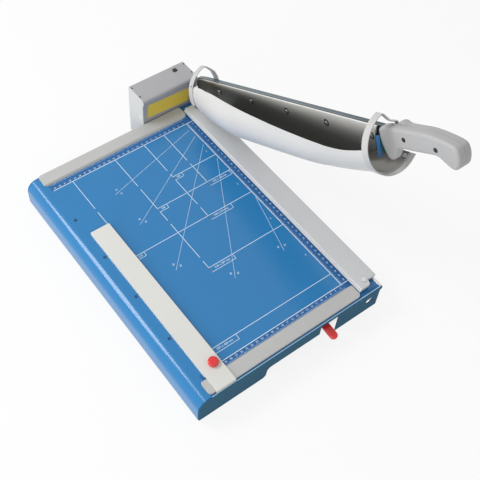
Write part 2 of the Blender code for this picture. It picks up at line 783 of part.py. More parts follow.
def make_hoops(frame):
    """The hoops that carry the trough, each bent down to a flange on the arm's right side."""
    foot_x = bar_right + gap
    top = tab_rise - pivot_rise
    for name, last, steps, start, tab_start, tab_width in (
            ("hoop_front", hoop_front_degrees, 37, hoop_front_start, hoop_front_start + front_tab_inset,
             front_tab_width),
            ("hoop_back", hoop_back_degrees, 18, hoop_back_start, back_tab_start, back_tab_width)):
        arc = hoop_path(hoop_tab_degrees, last, steps)
        path = [(foot_x, top - tab_foot), (foot_x, top), *arc]
        first = min(start, tab_start)
        end = max(start + hoop_width, tab_start + tab_width)
        hoop = add(name, sheet_mesh(path, "xz", pivot_along - end, pivot_along - first), frame, guard_grey)
        thicken(hoop, hoop_wall, -1.0)
        apex_x, apex_z = arc[0]
        middle_x = apex_x - edge_round
        reach = hoop_inner + tab_foot
        spares = []
        for low_x, high_x, kept_start, kept_end in (
                (middle_x, foot_x + tab_foot, tab_start, tab_start + tab_width),
                (-reach, middle_x, start, start + hoop_width)):
            if kept_start - first > gap:
                spares.append(((low_x, pivot_along - kept_start, -reach),
                               (high_x, pivot_along - first + overrun, apex_z + tab_foot)))
            if end - kept_end > gap:
                spares.append(((low_x, pivot_along - end - overrun, -reach),
                               (high_x, pivot_along - kept_end, apex_z + tab_foot)))
        trim = joined([block_mesh(low, high) for low, high in spares])
        boolean(hoop, add(name + "_trim", trim, frame))


def make_guard(frame):
    """The trough: a lofted shell with a deep belly, a slanted back end and a rim that falls to the front."""
    shape = bmesh.new()
    rows = []
    for station, rim in zip(rim_station_shares, rim_degrees):
        y = pivot_along - trough_start - trough_length * station
        depth = trough_belly * float(np.interp(station, belly_station_shares, belly_depth_shares))
        row = []
        for step in range(trough_around + 1):
            share = step / trough_around
            angle = math.radians(rim + (rim_right_degrees - rim) * share)
            radius = trough_radius + depth * math.sin(math.pi * share) ** belly_fullness
            row.append(shape.verts.new((radius * math.cos(angle), y, radius * math.sin(angle))))
        rows.append(row)
    for first, second in zip(rows, rows[1:]):
        for step in range(trough_around):
            shape.faces.new((first[step], first[step + 1], second[step + 1], second[step]))
    mesh = bpy.data.meshes.new("trough")
    shape.to_mesh(mesh)
    shape.free()
    trough = add("guard_trough", mesh, frame, guard_grey)
    thicken(trough, trough_wall, -1.0)


def make_latch(frame):
    """The blue strip and the dark cam between the knife's end and the handle."""
    right = bar_left - gap
    strip = arm_outline(framed(latch_shares, (latch_back, latch_low), (latch_width, latch_height)))
    add("latch_strip", prism_mesh(strip, "yz", right - latch_thickness, right), frame, latch_blue)
    cam = smooth(arm_outline(framed(cam_shares, (cam_back, cam_low), (cam_width, cam_height))), 3)
    add("latch_cam", prism_mesh(cam, "yz", right - cam_thickness, right), frame, latch_teal)


def make_press_bar(frame):
    """The bar that holds the sheet down beside the cut, on two pins through the table."""
    profile = rounded([
        (-press_left - press_lip, press_bottom, 0.0),
        (-press_right, press_bottom, 0.0),
        (-press_right, press_top, edge_round),
        (-press_left, press_top, 2 * edge_round),
        (-press_left, press_lip_top, 0.0),
        (-press_left - press_lip, press_lip_top, edge_round)], 3)
    bar = add("press_bar", prism_mesh(profile, "xz", -press_front_left - overrun, press_back + overrun),
              frame, press_grey)
    left = -press_left - press_lip
    plan = rounded([
        (left - overrun, press_back, 0.0),
        (left - overrun, -press_front_left, 0.0),
        (-press_step_x - press_round / 2, -press_front_left, press_round),
        (-press_step_x, -press_front_right, 0.0),
        (-press_right + overrun, -press_front_right, 0.0),
        (-press_right + overrun, -press_back_notch_y, 0.0),
        (-press_back_notch_x, -press_back_notch_y, 0.0),
        (-press_back_notch_x, press_back, press_round)], 4)
    plan_tool = add("press_bar_plan", prism_mesh(plan, "xy", -overrun, press_top + overrun), frame)
    boolean(bar, plan_tool, "INTERSECT")
    hollow = block_mesh(
        (-press_left + press_wall, -press_front_right + 2 * press_wall, press_bottom - overrun),
        (-press_right - press_wall, -press_back_notch_y - press_wall, press_top - press_wall))
    boolean(bar, add("press_bar_hollow", hollow, frame))
    screw = rod_mesh(press_screw_radius, (-press_screw_x, -press_screw_y, press_top + gap),
                     (-press_screw_x, -press_screw_y, press_top + gap + press_screw_height), 24)
    add("press_bar_screw", screw, frame, bright_steel)
    under = press_top - press_wall - gap
    collar_foot = under - press_collar_height
    profile = [(0.0, under), (press_collar_radius, under), (press_collar_radius, collar_foot),
               (press_pin_radius, collar_foot), (press_pin_radius, -press_pin_drop), (0.0, -press_pin_drop)]
    for name, y in (("press_pin_front", -press_pin_front_y), ("press_pin_back", -press_pin_back_y)):
        pin = add(name, turned_mesh(profile), frame, bright_steel, (-press_pin_x, y, 0.0))
        spin(pin, 24)


def make_gauge(frame):
    """The side stop: a plate that rides over the front rail, with a lip in front of it."""
    left, right = -gauge_left_x, -gauge_left_x + gauge_width
    slab = block_mesh((left, -gauge_front_y, gauge_floor), (right, -gauge_back_y, gauge_top))
    plate = add("gauge_plate", slab, frame, gauge_grey)
    rail_low = -front_stop_inner_y - stop_width - gap
    rail_room = block_mesh((left - overrun, rail_low, -overrun),
                           (right + overrun, -front_stop_inner_y + stop_slope, stop_height + gap))
    table_room = block_mesh((left - overrun, -front_stop_inner_y, -overrun),
                            (right + overrun, -gauge_back_y + overrun, gauge_floor))
    hollow = block_mesh((left + gauge_wall, -front_stop_inner_y + 2 * gauge_wall, -overrun),
                        (right - gauge_wall, -gauge_back_y - gauge_wall, gauge_top - gauge_wall))
    stud_hole = rod_mesh(stud_radius + gap, (-knob_x, -knob_y, -overrun),
                         (-knob_x, -knob_y, gauge_top + overrun))
    for name, tool in (("gauge_rail_room", rail_room), ("gauge_table_room", table_room),
                       ("gauge_hollow", hollow), ("gauge_stud_hole", stud_hole)):
        boolean(plate, add(name, tool, frame))


def make_knob(frame):
    """The red screw knob of the side stop."""
    foot = gauge_top + gap
    top = foot + knob_height
    dome = knob_height / 4
    rim = knob_radius - dome / 2
    profile = [(0.0, top), (knob_radius / 2, top - edge_round), (rim, top - dome / 2),
               (knob_radius, top - dome), (knob_radius, foot + dome / 2), (rim, foot), (0.0, foot)]
    spin(add("gauge_knob", turned_mesh(profile), frame, red_plastic, (0.0, 0.0, 0.0)))
    stud = rod_mesh(stud_radius, (0.0, 0.0, gauge_floor), (0.0, 0.0, foot - gap), 24)
    add("gauge_stud", stud, frame, zinc_steel)


def make_lever(base, frame):
    """The red lever of the press bar's lock, on a pin under the table."""
    pin_top = -sheet - gap
    flange_foot = pin_top - lever_pin_foot
    low = -lever_drop - lever_thickness
    pin_foot = low - gap - edge_round
    profile = [(0.0, pin_top), (2 * lever_pin_radius, pin_top), (2 * lever_pin_radius, flange_foot),
               (lever_pin_radius, flange_foot), (lever_pin_radius, pin_foot), (0.0, pin_foot)]
    pin = add("lever_pin", turned_mesh(profile), base, zinc_steel, (-lever_pivot_x, -lever_pivot_y, 0.0))
    spin(pin, 24)
    half = lever_width / 2
    nose = half * lever_round_share
    outline = rounded([(-half, half, nose), (-half, -lever_reach, 0.0), (half, -lever_reach, 0.0),
                       (half, half, nose)])
    bore = circle(0.0, 0.0, lever_pin_radius + gap, 24)
    add("lever_arm", prism_mesh(outline, "xy", low, -lever_drop, [bore]), frame, zinc_steel)
    half = grip_width / 2
    nose = half * lever_round_share
    plan = rounded([(-half, 0.0, edge_round), (-half, -grip_length, nose), (half, -grip_length, nose),
                    (half, 0.0, edge_round)])
    grip = prism_mesh(plan, "xy", -grip_thickness / 2, grip_thickness / 2)
    place = (0.0, -lever_reach - gap, -lever_drop - lever_thickness / 2)
    handle = add("lever_grip", grip, frame, red_plastic, place, (grip_slope, 0.0, 0.0))
    face = block_mesh((-grip_width, -lever_reach - gap, -2 * lever_drop), (grip_width, 0.0, lever_drop))
    boolean(handle, add("lever_grip_face", face, frame))


def make_laser_box(frame):
    """The box of the laser line behind the table: a bent cover between two end plates."""
    front, back, top, low = laser_front_y, laser_back_y, laser_top, -laser_bottom
    outline = rounded([
        (front, low, 0.0),
        (back, low, 0.0),
        (back, top, 2 * laser_sheet),
        (front - laser_lip, top, laser_nose_round),
        (front - laser_lip, top - laser_lip_drop, laser_lip_round),
        (front, top - laser_lip_drop - laser_lip, laser_lip_round)], 4)
    left, right = -laser_left_x, -laser_right_x
    cover = [*outline[1:], outline[0]]
    shell = sheet_mesh(cover, "yz", left + laser_sheet + gap, right - laser_sheet - gap)
    housing = add("laser_housing", shell, frame, box_grey)
    thicken(housing, laser_sheet, -1.0)
    floor_low = (left + laser_sheet + gap, front + laser_sheet + gap, low)
    floor_high = (right - laser_sheet - gap, back - laser_sheet - gap, low + laser_sheet)
    add("laser_floor", block_mesh(floor_low, floor_high), frame, box_grey)
    add("laser_end_left", prism_mesh(outline, "yz", left, left + laser_sheet), frame, box_light)
    add("laser_end_right", prism_mesh(outline, "yz", right - laser_sheet, right), frame, box_light)
    inset = laser_inset
    half = button_size / 2
    button_hole = block_mesh((-button_x - half - gap, button_y - half - gap, top - 2 * laser_sheet),
                             (-button_x + half + gap, button_y + half + gap, top + overrun))
    lens_spot = (right - 2 * inset, top - lens_rise / 2)
    lens_hole = rod_mesh(lens_radius + gap, (lens_spot[0], front - overrun, lens_spot[1]),
                         (lens_spot[0], front + 2 * laser_sheet, lens_spot[1]), 24)
    boolean(housing, add("laser_housing_cuts", joined([button_hole, lens_hole]), frame))
    lens = rod_mesh(lens_radius, (lens_spot[0], front - laser_sheet, lens_spot[1]),
                    (lens_spot[0], front + lens_reach + laser_sheet, lens_spot[1]), 24)
    add("laser_lens", lens, frame, black_plastic)
    bracket = block_mesh((left + 2 * inset, table_back + gap, -beam_height),
                         (-block_left - 2 * inset, front - gap, -roll_radius / 2))
    add("laser_bracket", bracket, frame, zinc_steel)


def make_button(frame):
    """The push button on the box."""
    half = button_size / 2
    low = laser_top - laser_sheet - button_travel
    add("laser_button", block_mesh((-half, -half, low), (half, half, laser_top + button_height), edge_round),
        frame, black_plastic)


cutting_frame = empty("cutting_frame", (foot_right_x, channel_back_y, desk_drop))
make_base(cutting_frame)
make_counter_knife(cutting_frame)
make_stops(cutting_frame)
make_pivot(cutting_frame)
arm_pivot = empty("arm_pivot", (0.0, pivot_y, pivot_z), cutting_frame, (-open_angle, 0.0, 0.0))
make_arm(arm_pivot)
make_handle(arm_pivot)
make_hoops(arm_pivot)
make_latch(arm_pivot)
guard_axis = empty("guard_axis", (0.0, 0.0, guard_rise - pivot_rise), arm_pivot)
make_guard(guard_axis)
press_lift = empty("press_lift", (0.0, 0.0, 0.0), cutting_frame)
make_press_bar(press_lift)
gauge_slide = empty("gauge_slide", (0.0, 0.0, 0.0), cutting_frame)
make_gauge(gauge_slide)
knob_axis = empty("knob_axis", (-knob_x, -knob_y, 0.0), gauge_slide)
make_knob(knob_axis)
lever_axis = empty("lever_axis", (-lever_pivot_x, -lever_pivot_y, 0.0), cutting_frame)
make_lever(cutting_frame, lever_axis)
make_laser_box(cutting_frame)
button_axis = empty("button_axis", (-button_x, button_y, 0.0), cutting_frame)
make_button(button_axis)
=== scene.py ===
import json
import math

import bmesh
import bpy
from mathutils import Matrix, Vector


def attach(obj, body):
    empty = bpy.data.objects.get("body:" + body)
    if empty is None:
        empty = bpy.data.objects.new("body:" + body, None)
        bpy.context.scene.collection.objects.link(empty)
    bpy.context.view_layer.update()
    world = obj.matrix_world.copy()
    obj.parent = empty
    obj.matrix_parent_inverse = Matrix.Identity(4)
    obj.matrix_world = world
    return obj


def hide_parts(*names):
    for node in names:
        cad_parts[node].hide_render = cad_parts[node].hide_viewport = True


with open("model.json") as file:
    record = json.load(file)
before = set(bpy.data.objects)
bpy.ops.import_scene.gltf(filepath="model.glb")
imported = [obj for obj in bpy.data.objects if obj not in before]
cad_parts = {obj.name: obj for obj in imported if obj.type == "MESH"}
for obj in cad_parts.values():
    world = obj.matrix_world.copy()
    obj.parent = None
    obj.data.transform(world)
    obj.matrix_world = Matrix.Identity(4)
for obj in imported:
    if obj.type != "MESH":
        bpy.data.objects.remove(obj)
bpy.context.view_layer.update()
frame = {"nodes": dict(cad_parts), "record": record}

nodes = frame["nodes"]
print("frame loaded:", len(nodes), "nodes")

cutPlace = Vector((0.040, 0.005, 0.053))  # where the cut meets the back stop on the table's top
openAngle = math.radians(29.0)
sinOpen = math.sin(openAngle)
cosOpen = math.cos(openAngle)


def onTable(x, y, z=0.0):
    # x is negative over the table, y is negative towards the operator
    return cutPlace + Vector((x, y, z))


def onArm(x, along, rise):
    # along the knife's edge line of the open arm, and square to it
    return cutPlace + Vector((x, rise * sinOpen - along * cosOpen, along * sinOpen + rise * cosOpen))


armRun = Vector((0.0, -cosOpen, sinOpen))
armRise = Vector((0.0, sinOpen, cosOpen))


# materials

def addNode(tree, kind, **inputs):
    made = tree.nodes.new(kind)
    for key, value in inputs.items():
        made.inputs[key.replace("_", " ")].default_value = value
    return made


def noiseOn(tree, coords, scale, detail=2.0, stretch=None):
    noise = addNode(tree, "ShaderNodeTexNoise", Scale=scale, Detail=detail)
    source = coords.outputs["Object"]
    if stretch:
        mapping = tree.nodes.new("ShaderNodeMapping")
        mapping.inputs["Scale"].default_value = stretch
        mapping.inputs["Rotation"].default_value = (openAngle, 0.0, 0.0) if stretch[1] < 1 else (0, 0, 0)
        tree.links.new(source, mapping.inputs["Vector"])
        source = mapping.outputs["Vector"]
    tree.links.new(source, noise.inputs["Vector"])
    return noise


def makeMaterial(name, colour, roughness, metallic=0.0, coat=0.0, grain=(900.0, 0.02), mottle=(14.0, 0.04),
                 brush=None, roughChange=0.05, gloss=0.5, coatRough=0.15):
    material = bpy.data.materials.new(name)
    material.use_nodes = True
    tree = material.node_tree
    shader = tree.nodes["Principled BSDF"]
    shader.inputs["Metallic"].default_value = metallic
    shader.inputs["Coat Weight"].default_value = coat
    shader.inputs["Coat Roughness"].default_value = coatRough
    shader.inputs["Specular IOR Level"].default_value = gloss
    coords = tree.nodes.new("ShaderNodeTexCoord")

    slow = noiseOn(tree, coords, mottle[0], 3.0)
    blend = tree.nodes.new("ShaderNodeMix")
    blend.data_type = "RGBA"
    blend.inputs[6].default_value = (*[part * (1 - mottle[1]) for part in colour], 1.0)
    blend.inputs[7].default_value = (*[min(1.0, part * (1 + mottle[1])) for part in colour], 1.0)
    tree.links.new(slow.outputs["Fac"], blend.inputs[0])
    tree.links.new(blend.outputs[2], shader.inputs["Base Color"])

    fine = noiseOn(tree, coords, grain[0], 2.0, brush)
    spread = tree.nodes.new("ShaderNodeMapRange")
    spread.inputs["To Min"].default_value = roughness - roughChange
    spread.inputs["To Max"].default_value = roughness + roughChange
    tree.links.new(fine.outputs["Fac"], spread.inputs["Value"])
    tree.links.new(spread.outputs["Result"], shader.inputs["Roughness"])

    bump = addNode(tree, "ShaderNodeBump", Strength=grain[1] * 10, Distance=0.0002)
    tree.links.new(fine.outputs["Fac"], bump.inputs["Height"])
    tree.links.new(bump.outputs["Normal"], shader.inputs["Normal"])
    return material


def lengthAlong(tree, direction, start):
    # how far a point lies from a start, along a direction, at the piece's own rest place
    coords = tree.nodes.new("ShaderNodeTexCoord")
    measure = tree.nodes.new("ShaderNodeVectorMath")
    measure.operation = "DOT_PRODUCT"
    measure.inputs[1].default_value = direction
    shift = tree.nodes.new("ShaderNodeMath")
    shift.operation = "SUBTRACT"
    shift.inputs[1].default_value = start + Vector(direction).dot(cutPlace)
    tree.links.new(coords.outputs["Object"], measure.inputs[0])
    tree.links.new(measure.outputs["Value"], shift.inputs[0])
    return shift.outputs["Value"]


def rampOver(tree, value, end, stops):
    # a colour ramp over a value from 0 to end
    spread = tree.nodes.new("ShaderNodeMapRange")
    spread.inputs["From Max"].default_value = end
    ramp = tree.nodes.new("ShaderNodeValToRGB")
    for place, colour in stops[1:-1]:
        ramp.color_ramp.elements.new(place / end)
    for element, (place, colour) in zip(ramp.color_ramp.elements, stops):
        element.position = place / end
        element.color = (*colour, 1.0)
    tree.links.new(value, spread.inputs["Value"])
    tree.links.new(spread.outputs["Result"], ramp.inputs["Fac"])
    return ramp.outputs["Color"]


def tintBy(material, colour):
    # the ramp is multiplied into the colour that the finish has
    tree = material.node_tree
    shader = tree.nodes["Principled BSDF"]
    under = shader.inputs["Base Color"].links[0].from_socket
    tint = tree.nodes.new("ShaderNodeMix")
    tint.data_type = "RGBA"
    tint.blend_type = "MULTIPLY"
    tint.inputs[0].default_value = 1.0
    tree.links.new(colour, tint.inputs[6])
    tree.links.new(under, tint.inputs[7])
    tree.links.new(tint.outputs[2], shader.inputs["Base Color"])


finishes = {
    "blue_paint": dict(colour=(0.014, 0.176, 0.420), roughness=0.45, gloss=0.0, coat=1.0, coatRough=0.17,
                       grain=(1400.0, 0.02)),
    # the front skirt: the table's blue paint, darkened as painted shade
    "skirt_blue_painted_shade": dict(colour=(0.024, 0.105, 0.180), roughness=0.55, gloss=0.06, grain=(1400.0, 0.02)),
    "band_blue_and_painted_shade": dict(colour=(0.022, 0.120, 0.320), roughness=0.45, gloss=0.25, grain=(1400.0, 0.02)),
    # painted highlight for the front fold
    "fold_shine": dict(colour=(0.33, 0.55, 0.72), roughness=0.35, grain=(1400.0, 0.02)),
    "dark_steel": dict(colour=(0.95, 0.95, 0.93), roughness=0.34, metallic=0.5, grain=(300.0, 0.01),
                       brush=(0.3, 0.02, 1.0)),
    "arm_paint": dict(colour=(0.95, 0.97, 1.00), roughness=0.38, metallic=0.3, grain=(1200.0, 0.02)),
    "bright_steel": dict(colour=(0.66, 0.66, 0.66), roughness=0.22, metallic=1.0, grain=(700.0, 0.01)),
    "zinc_steel": dict(colour=(0.52, 0.53, 0.54), roughness=0.38, metallic=1.0, grain=(260.0, 0.02),
                       mottle=(60.0, 0.12)),
    "stop_alloy": dict(colour=(0.46, 0.465, 0.455), roughness=0.42, metallic=0.1, grain=(1500.0, 0.02)),
    "guard_grey": dict(colour=(0.61, 0.60, 0.585), roughness=0.36, grain=(1800.0, 0.02)),
    "hoop_grey": dict(colour=(0.50, 0.50, 0.495), roughness=0.34, grain=(1800.0, 0.02)),
    "press_grey": dict(colour=(0.55, 0.56, 0.57), roughness=0.40, metallic=0.2, grain=(1500.0, 0.02)),
    "gauge_grey": dict(colour=(0.65, 0.65, 0.62), roughness=0.42, grain=(1600.0, 0.02)),
    "handle_grey": dict(colour=(0.40, 0.40, 0.40), roughness=0.46, grain=(1300.0, 0.05)),
    "box_grey": dict(colour=(0.37, 0.37, 0.385), roughness=0.42, grain=(1500.0, 0.03)),
    "box_light": dict(colour=(0.56, 0.57, 0.57), roughness=0.45, grain=(1500.0, 0.03)),
    "red_plastic": dict(colour=(0.66, 0.020, 0.022), roughness=0.30, coat=0.3, grain=(800.0, 0.01)),
    "black_plastic": dict(colour=(0.012, 0.012, 0.013), roughness=0.40, grain=(1200.0, 0.03)),
    "black_rubber": dict(colour=(0.020, 0.020, 0.020), roughness=0.80, grain=(900.0, 0.08)),
    "latch_blue": dict(colour=(0.050, 0.190, 0.430), roughness=0.40, grain=(1200.0, 0.02)),
    "latch_teal": dict(colour=(0.012, 0.070, 0.080), roughness=0.40, grain=(1200.0, 0.02)),
    "print_white": dict(colour=(0.72, 0.82, 0.90), roughness=0.55, grain=(2500.0, 0.02)),
    "label_yellow": dict(colour=(0.78, 0.58, 0.07), roughness=0.40, grain=(900.0, 0.01)),
    # the trough's inside: the guard's plastic, darkened as painted shade
    "inner_grey_painted_shade": dict(colour=(0.20, 0.192, 0.178), roughness=0.50, grain=(1500.0, 0.02)),
    "rivet_dark": dict(colour=(0.010, 0.050, 0.130), roughness=0.45, grain=(900.0, 0.02)),
    "screw_steel": dict(colour=(0.30, 0.30, 0.31), roughness=0.35, metallic=0.9, grain=(900.0, 0.02)),
    "screw_black": dict(colour=(0.030, 0.032, 0.036), roughness=0.45, metallic=0.3, grain=(900.0, 0.02)),
}
finish = {name: makeMaterial(name + "_look", **settings) for name, settings in finishes.items()}

# painted reflection on the blade: lighter towards its back, where the bright surroundings are mirrored,
# darker lower down, where the trough's inside is mirrored, in a fan that widens to the front; the lightest
# stop at the top edge is a painted highlight
bladeReflectionFan = {"top": 0.060, "tip": -0.030,
            "stops": [(0.0, (0.90, 0.90, 0.89)), (0.010, (0.74, 0.73, 0.71)), (0.019, (0.62, 0.61, 0.59)),
                      (0.038, (0.37, 0.37, 0.36)), (0.055, (0.235, 0.24, 0.235)),
                      (0.084, (0.125, 0.13, 0.125)),
                      (0.13, (0.095, 0.10, 0.092))]}
# bands across the arm's top: two tones of blue, with painted shade in the dark lines beside the knife and
# between the tones
armBands = [(0.0, (0.020, 0.030, 0.038)), (0.0041, (0.025, 0.036, 0.045)), (0.0043, (0.165, 0.200, 0.225)),
            (0.0074, (0.155, 0.190, 0.215)), (0.0076, (0.045, 0.068, 0.085)), (0.0083, (0.050, 0.074, 0.090)),
            (0.0085, (0.105, 0.145, 0.170)), (0.0125, (0.090, 0.130, 0.155))]
# painted shade on the arm: its colour darkens towards the front, by the handle
armPaintedShade = {"start": 0.300, "end": 0.200, "stops": [(0.0, (1.0, 1.0, 1.0)), (0.10, (0.80, 0.82, 0.82)),
                                                    (0.17, (0.42, 0.50, 0.46)), (0.200, (0.32, 0.42, 0.38))]}
# painted shade on the table's top: its colour darkens towards the front right
tablePaintedShade = {"start": 0.330, "end": 0.180, "stops": [(0.0, (1.0, 1.0, 1.0)), (0.090, (0.90, 0.88, 0.86)),
                                                      (0.180, (0.85, 0.78, 0.74))]}

tree = finish["dark_steel"].node_tree
drop = tree.nodes.new("ShaderNodeMath")
drop.operation = "DIVIDE"
below = lengthAlong(tree, tuple(-part for part in armRise), -bladeReflectionFan["top"])
along = lengthAlong(tree, tuple(armRun), bladeReflectionFan["tip"])
tree.links.new(below, drop.inputs[0])
tree.links.new(along, drop.inputs[1])
tintBy(finish["dark_steel"], rampOver(tree, drop.outputs["Value"], bladeReflectionFan["stops"][-1][0],
                                      bladeReflectionFan["stops"]))
tree = finish["arm_paint"].node_tree
tintBy(finish["arm_paint"], rampOver(tree, lengthAlong(tree, (1.0, 0.0, 0.0), 0.0), armBands[-1][0],
                                     armBands))
tintBy(finish["arm_paint"], rampOver(tree, lengthAlong(tree, tuple(armRun), armPaintedShade["start"]),
                                     armPaintedShade["end"], armPaintedShade["stops"]))
tree = finish["blue_paint"].node_tree
tintBy(finish["blue_paint"], rampOver(tree, lengthAlong(tree, (0.45, -0.89, 0.0), tablePaintedShade["start"]),
                                      tablePaintedShade["end"], tablePaintedShade["stops"]))
print("materials made:", len(finish))

# the front skirt takes the darker blue of painted shade
nodeLooks = {"front_skirt": "skirt_blue_painted_shade", "hoop_front": "hoop_grey", "hoop_back": "hoop_grey"}
nodeLooks.update({node: "rivet_dark" for node in nodes if node.startswith("table_rivet")})
nodeLooks.update({node: "screw_black" for node in nodes if node.startswith("handle_screw")})
for row in frame["record"]["subparts"]:
    node = nodes[row["node"]]
    node.data.materials.clear()
    node.data.materials.append(finish[nodeLooks.get(row["node"], row["material_slot"])])
slotOf = {row["node"]: row["material_slot"] for row in frame["record"]["subparts"]}
bodyOf = {node: body for body, members in frame["record"]["behaviour"]["bodies"].items() for node in members}


# mesh tools

def addPiece(name, mesh, body, slotName, replaced=(), look=None, smoothAngle=35.0):
    mesh.name = name
    mesh.materials.clear()
    mesh.materials.append(finish[look or slotName])
    if smoothAngle:
        mesh.shade_smooth()
        mesh.set_sharp_from_angle(angle=math.radians(smoothAngle))
    piece = bpy.data.objects.new(name, mesh)
    bpy.context.scene.collection.objects.link(piece)
    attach(piece, body)
    if replaced:
        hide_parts(*replaced)
    return piece


def evaluated(mesh, setUp):
    # run modifiers on a holder and keep the mesh that comes out
    holder = bpy.data.objects.new("holder", mesh)
    bpy.context.scene.collection.objects.link(holder)
    setUp(holder)
    made = bpy.data.meshes.new_from_object(holder.evaluated_get(bpy.context.evaluated_depsgraph_get()))
    bpy.data.objects.remove(holder)
    return made


def bevelStep(holder, width, segments=2, angle=30.0):
    step = holder.modifiers.new("edges", "BEVEL")
    step.width = width
    step.segments = segments
    step.limit_method = "ANGLE"
    step.angle_limit = math.radians(angle)
    step.harden_normals = True
    step.use_clamp_overlap = True


def bevelled(mesh, width, segments=2, angle=30.0):
    mesh.shade_smooth()
    return evaluated(mesh, lambda holder: bevelStep(holder, width, segments, angle))


def cleanCopy(node, flatAngle=0.6):
    # a CAD node's loose triangles, merged into whole faces
    source = nodes[node].data
    shape = bmesh.new()
    shape.from_mesh(source)
    for layer in list(shape.loops.layers.float_vector):
        shape.loops.layers.float_vector.remove(layer)
    bmesh.ops.remove_doubles(shape, verts=shape.verts, dist=0.000012)
    bmesh.ops.dissolve_limit(shape, angle_limit=math.radians(flatAngle), verts=shape.verts, edges=shape.edges)
    made = bpy.data.meshes.new(node)
    points = [tuple(vertex.co) for vertex in shape.verts]
    shape.verts.index_update()
    faces = [[vertex.index for vertex in face.verts] for face in shape.faces]
    shape.free()
    made.from_pydata(points, [], faces)
    return made


def soften(node, name, width, segments=2, angle=30.0):
    # the same shape as the CAD node, with its sharp edges rounded
    mesh = bevelled(cleanCopy(node), width, segments, angle)
    return addPiece(name, mesh, bodyOf[node], slotOf[node], [node], look=nodeLooks.get(node),
                    smoothAngle=None)


def meshOf(points, faces, name="shape"):
    made = bpy.data.meshes.new(name)
    made.from_pydata(points, [], faces)
    made.update()
    return made


def rightWayOut(mesh):
    shape = bmesh.new()
    shape.from_mesh(mesh)
    bmesh.ops.remove_doubles(shape, verts=shape.verts, dist=0.000001)
    bmesh.ops.recalc_face_normals(shape, faces=shape.faces)
    shape.to_mesh(mesh)
    shape.free()
    return mesh


def joinMeshes(meshes):
    shape = bmesh.new()
    for mesh in meshes:
        shape.from_mesh(mesh)
        bpy.data.meshes.remove(mesh)
    made = bpy.data.meshes.new("joined")
    shape.to_mesh(made)
    shape.free()
    return made


def smoothLine(points, steps, closed=True):
    known = [Vector(point) for point in points]
    count = len(known)
    drawn = []
    for index in range(count if closed else count - 1):
        ring = [known[(index + shift) % count] for shift in (-1, 0, 1, 2)]
        if not closed:
            ring[0] = known[max(index - 1, 0)]
            ring[3] = known[min(index + 2, count - 1)]
        for step in range(steps):
            t = step / steps
            drawn.append(ring[1] + (ring[2] - ring[0]) * (t / 2)
                         + (ring[0] * 2 - ring[1] * 5 + ring[2] * 4 - ring[3]) * (t * t / 2)
                         + (ring[1] * 3 - ring[0] - ring[2] * 3 + ring[3]) * (t ** 3 / 2))
    if not closed:
        drawn.append(known[-1])
    return drawn


def boxMesh(low, high):
    corners = [(x, y, z) for x in (low[0], high[0]) for y in (low[1], high[1]) for z in (low[2], high[2])]
    faces = [(0, 1, 3, 2), (4, 6, 7, 5), (0, 4, 5, 1), (2, 3, 7, 6), (0, 2, 6, 4), (1, 5, 7, 3)]
    return meshOf(corners, faces)


def prism(outline, placeAt, low, high):
    # an outline carried from low to high; placeAt(u, v, depth) gives the world point
    count = len(outline)
    points = [placeAt(u, v, depth) for depth in (low, high) for u, v in outline]
    faces = [list(range(count)), list(range(2 * count - 1, count - 1, -1))]
    faces += [(step, (step + 1) % count, (step + 1) % count + count, step + count) for step in range(count)]
    return rightWayOut(meshOf(points, faces))


def turned(profile, place, axis, sides=40):
    # a profile of (radius, height) turned about an axis through a place
    aim = Vector(axis).to_track_quat("Z", "Y").to_matrix()
    points = []
    faces = []
    for radius, height in profile:
        for side in range(sides):
            angle = 2 * math.pi * side / sides
            spot = Vector((radius * math.cos(angle), radius * math.sin(angle), height))
            points.append(Vector(place) + aim @ spot)
    for row in range(len(profile) - 1):
        for side in range(sides):
            after = (side + 1) % sides
            faces.append((row * sides + side, row * sides + after, (row + 1) * sides + after,
                          (row + 1) * sides + side))
    faces.append(list(range(sides)))
    faces.append(list(range((len(profile) - 1) * sides, len(profile) * sides)))
    return rightWayOut(meshOf(points, faces))


# camera, lights and floor

cameraSettings = {"place": (-0.653889, -0.895813, 1.191679), "right": (0.80681, -0.59001, 0.03060),
                  "up": (0.46306, 0.66367, 0.58747), "back": (-0.36692, -0.45981, 0.80867),
                  "lens": 63.52, "shiftX": 0.064, "shiftY": 0.0015}
camera = bpy.data.objects.new("camera", bpy.data.cameras.new("camera"))
bpy.context.scene.collection.objects.link(camera)
turn = Matrix((cameraSettings["right"], cameraSettings["up"], cameraSettings["back"])).transposed()
camera.matrix_world = Matrix.Translation(cameraSettings["place"]) @ turn.to_4x4()
camera.data.sensor_width = 36.0
camera.data.lens = cameraSettings["lens"]
camera.data.shift_x = cameraSettings["shiftX"]
camera.data.shift_y = cameraSettings["shiftY"]
bpy.context.scene.camera = camera

lampSettings = {
    "topLamp": {"place": (-1.15, 0.75, 1.6), "aim": (-0.1, -0.2, 0.05), "size": 0.9, "power": 22.0},
    "leftLamp": {"place": (-1.9, -0.8, 0.6), "aim": (0.0, -0.2, 0.1), "size": 1.2, "power": 14.0},
}
for name, values in lampSettings.items():
    data = bpy.data.lights.new(name, "AREA")
    data.shape = "SQUARE"
    data.size = values["size"]
    data.energy = values["power"]
    lamp = bpy.data.objects.new(name, data)
    lamp.location = values["place"]
    lamp.rotation_euler = (Vector(values["aim"]) - lamp.location).to_track_quat("-Z", "Y").to_euler()
    bpy.context.scene.collection.objects.link(lamp)

bpy.context.scene.view_settings.view_transform = "Standard"
world = bpy.data.worlds.new("studio")
world.use_nodes = True
bpy.context.scene.world = world


def seenDirectly(tree):
    # 1 where the camera looks, straight, in a mirror or through glass
    path = tree.nodes.new("ShaderNodeLightPath")
    value = path.outputs["Is Camera Ray"]
    for name in ("Is Glossy Ray", "Is Transmission Ray"):
        add = tree.nodes.new("ShaderNodeMath")
        add.operation = "MAXIMUM"
        tree.links.new(value, add.inputs[0])
        tree.links.new(path.outputs[name], add.inputs[1])
        value = add.outputs["Value"]
    return value


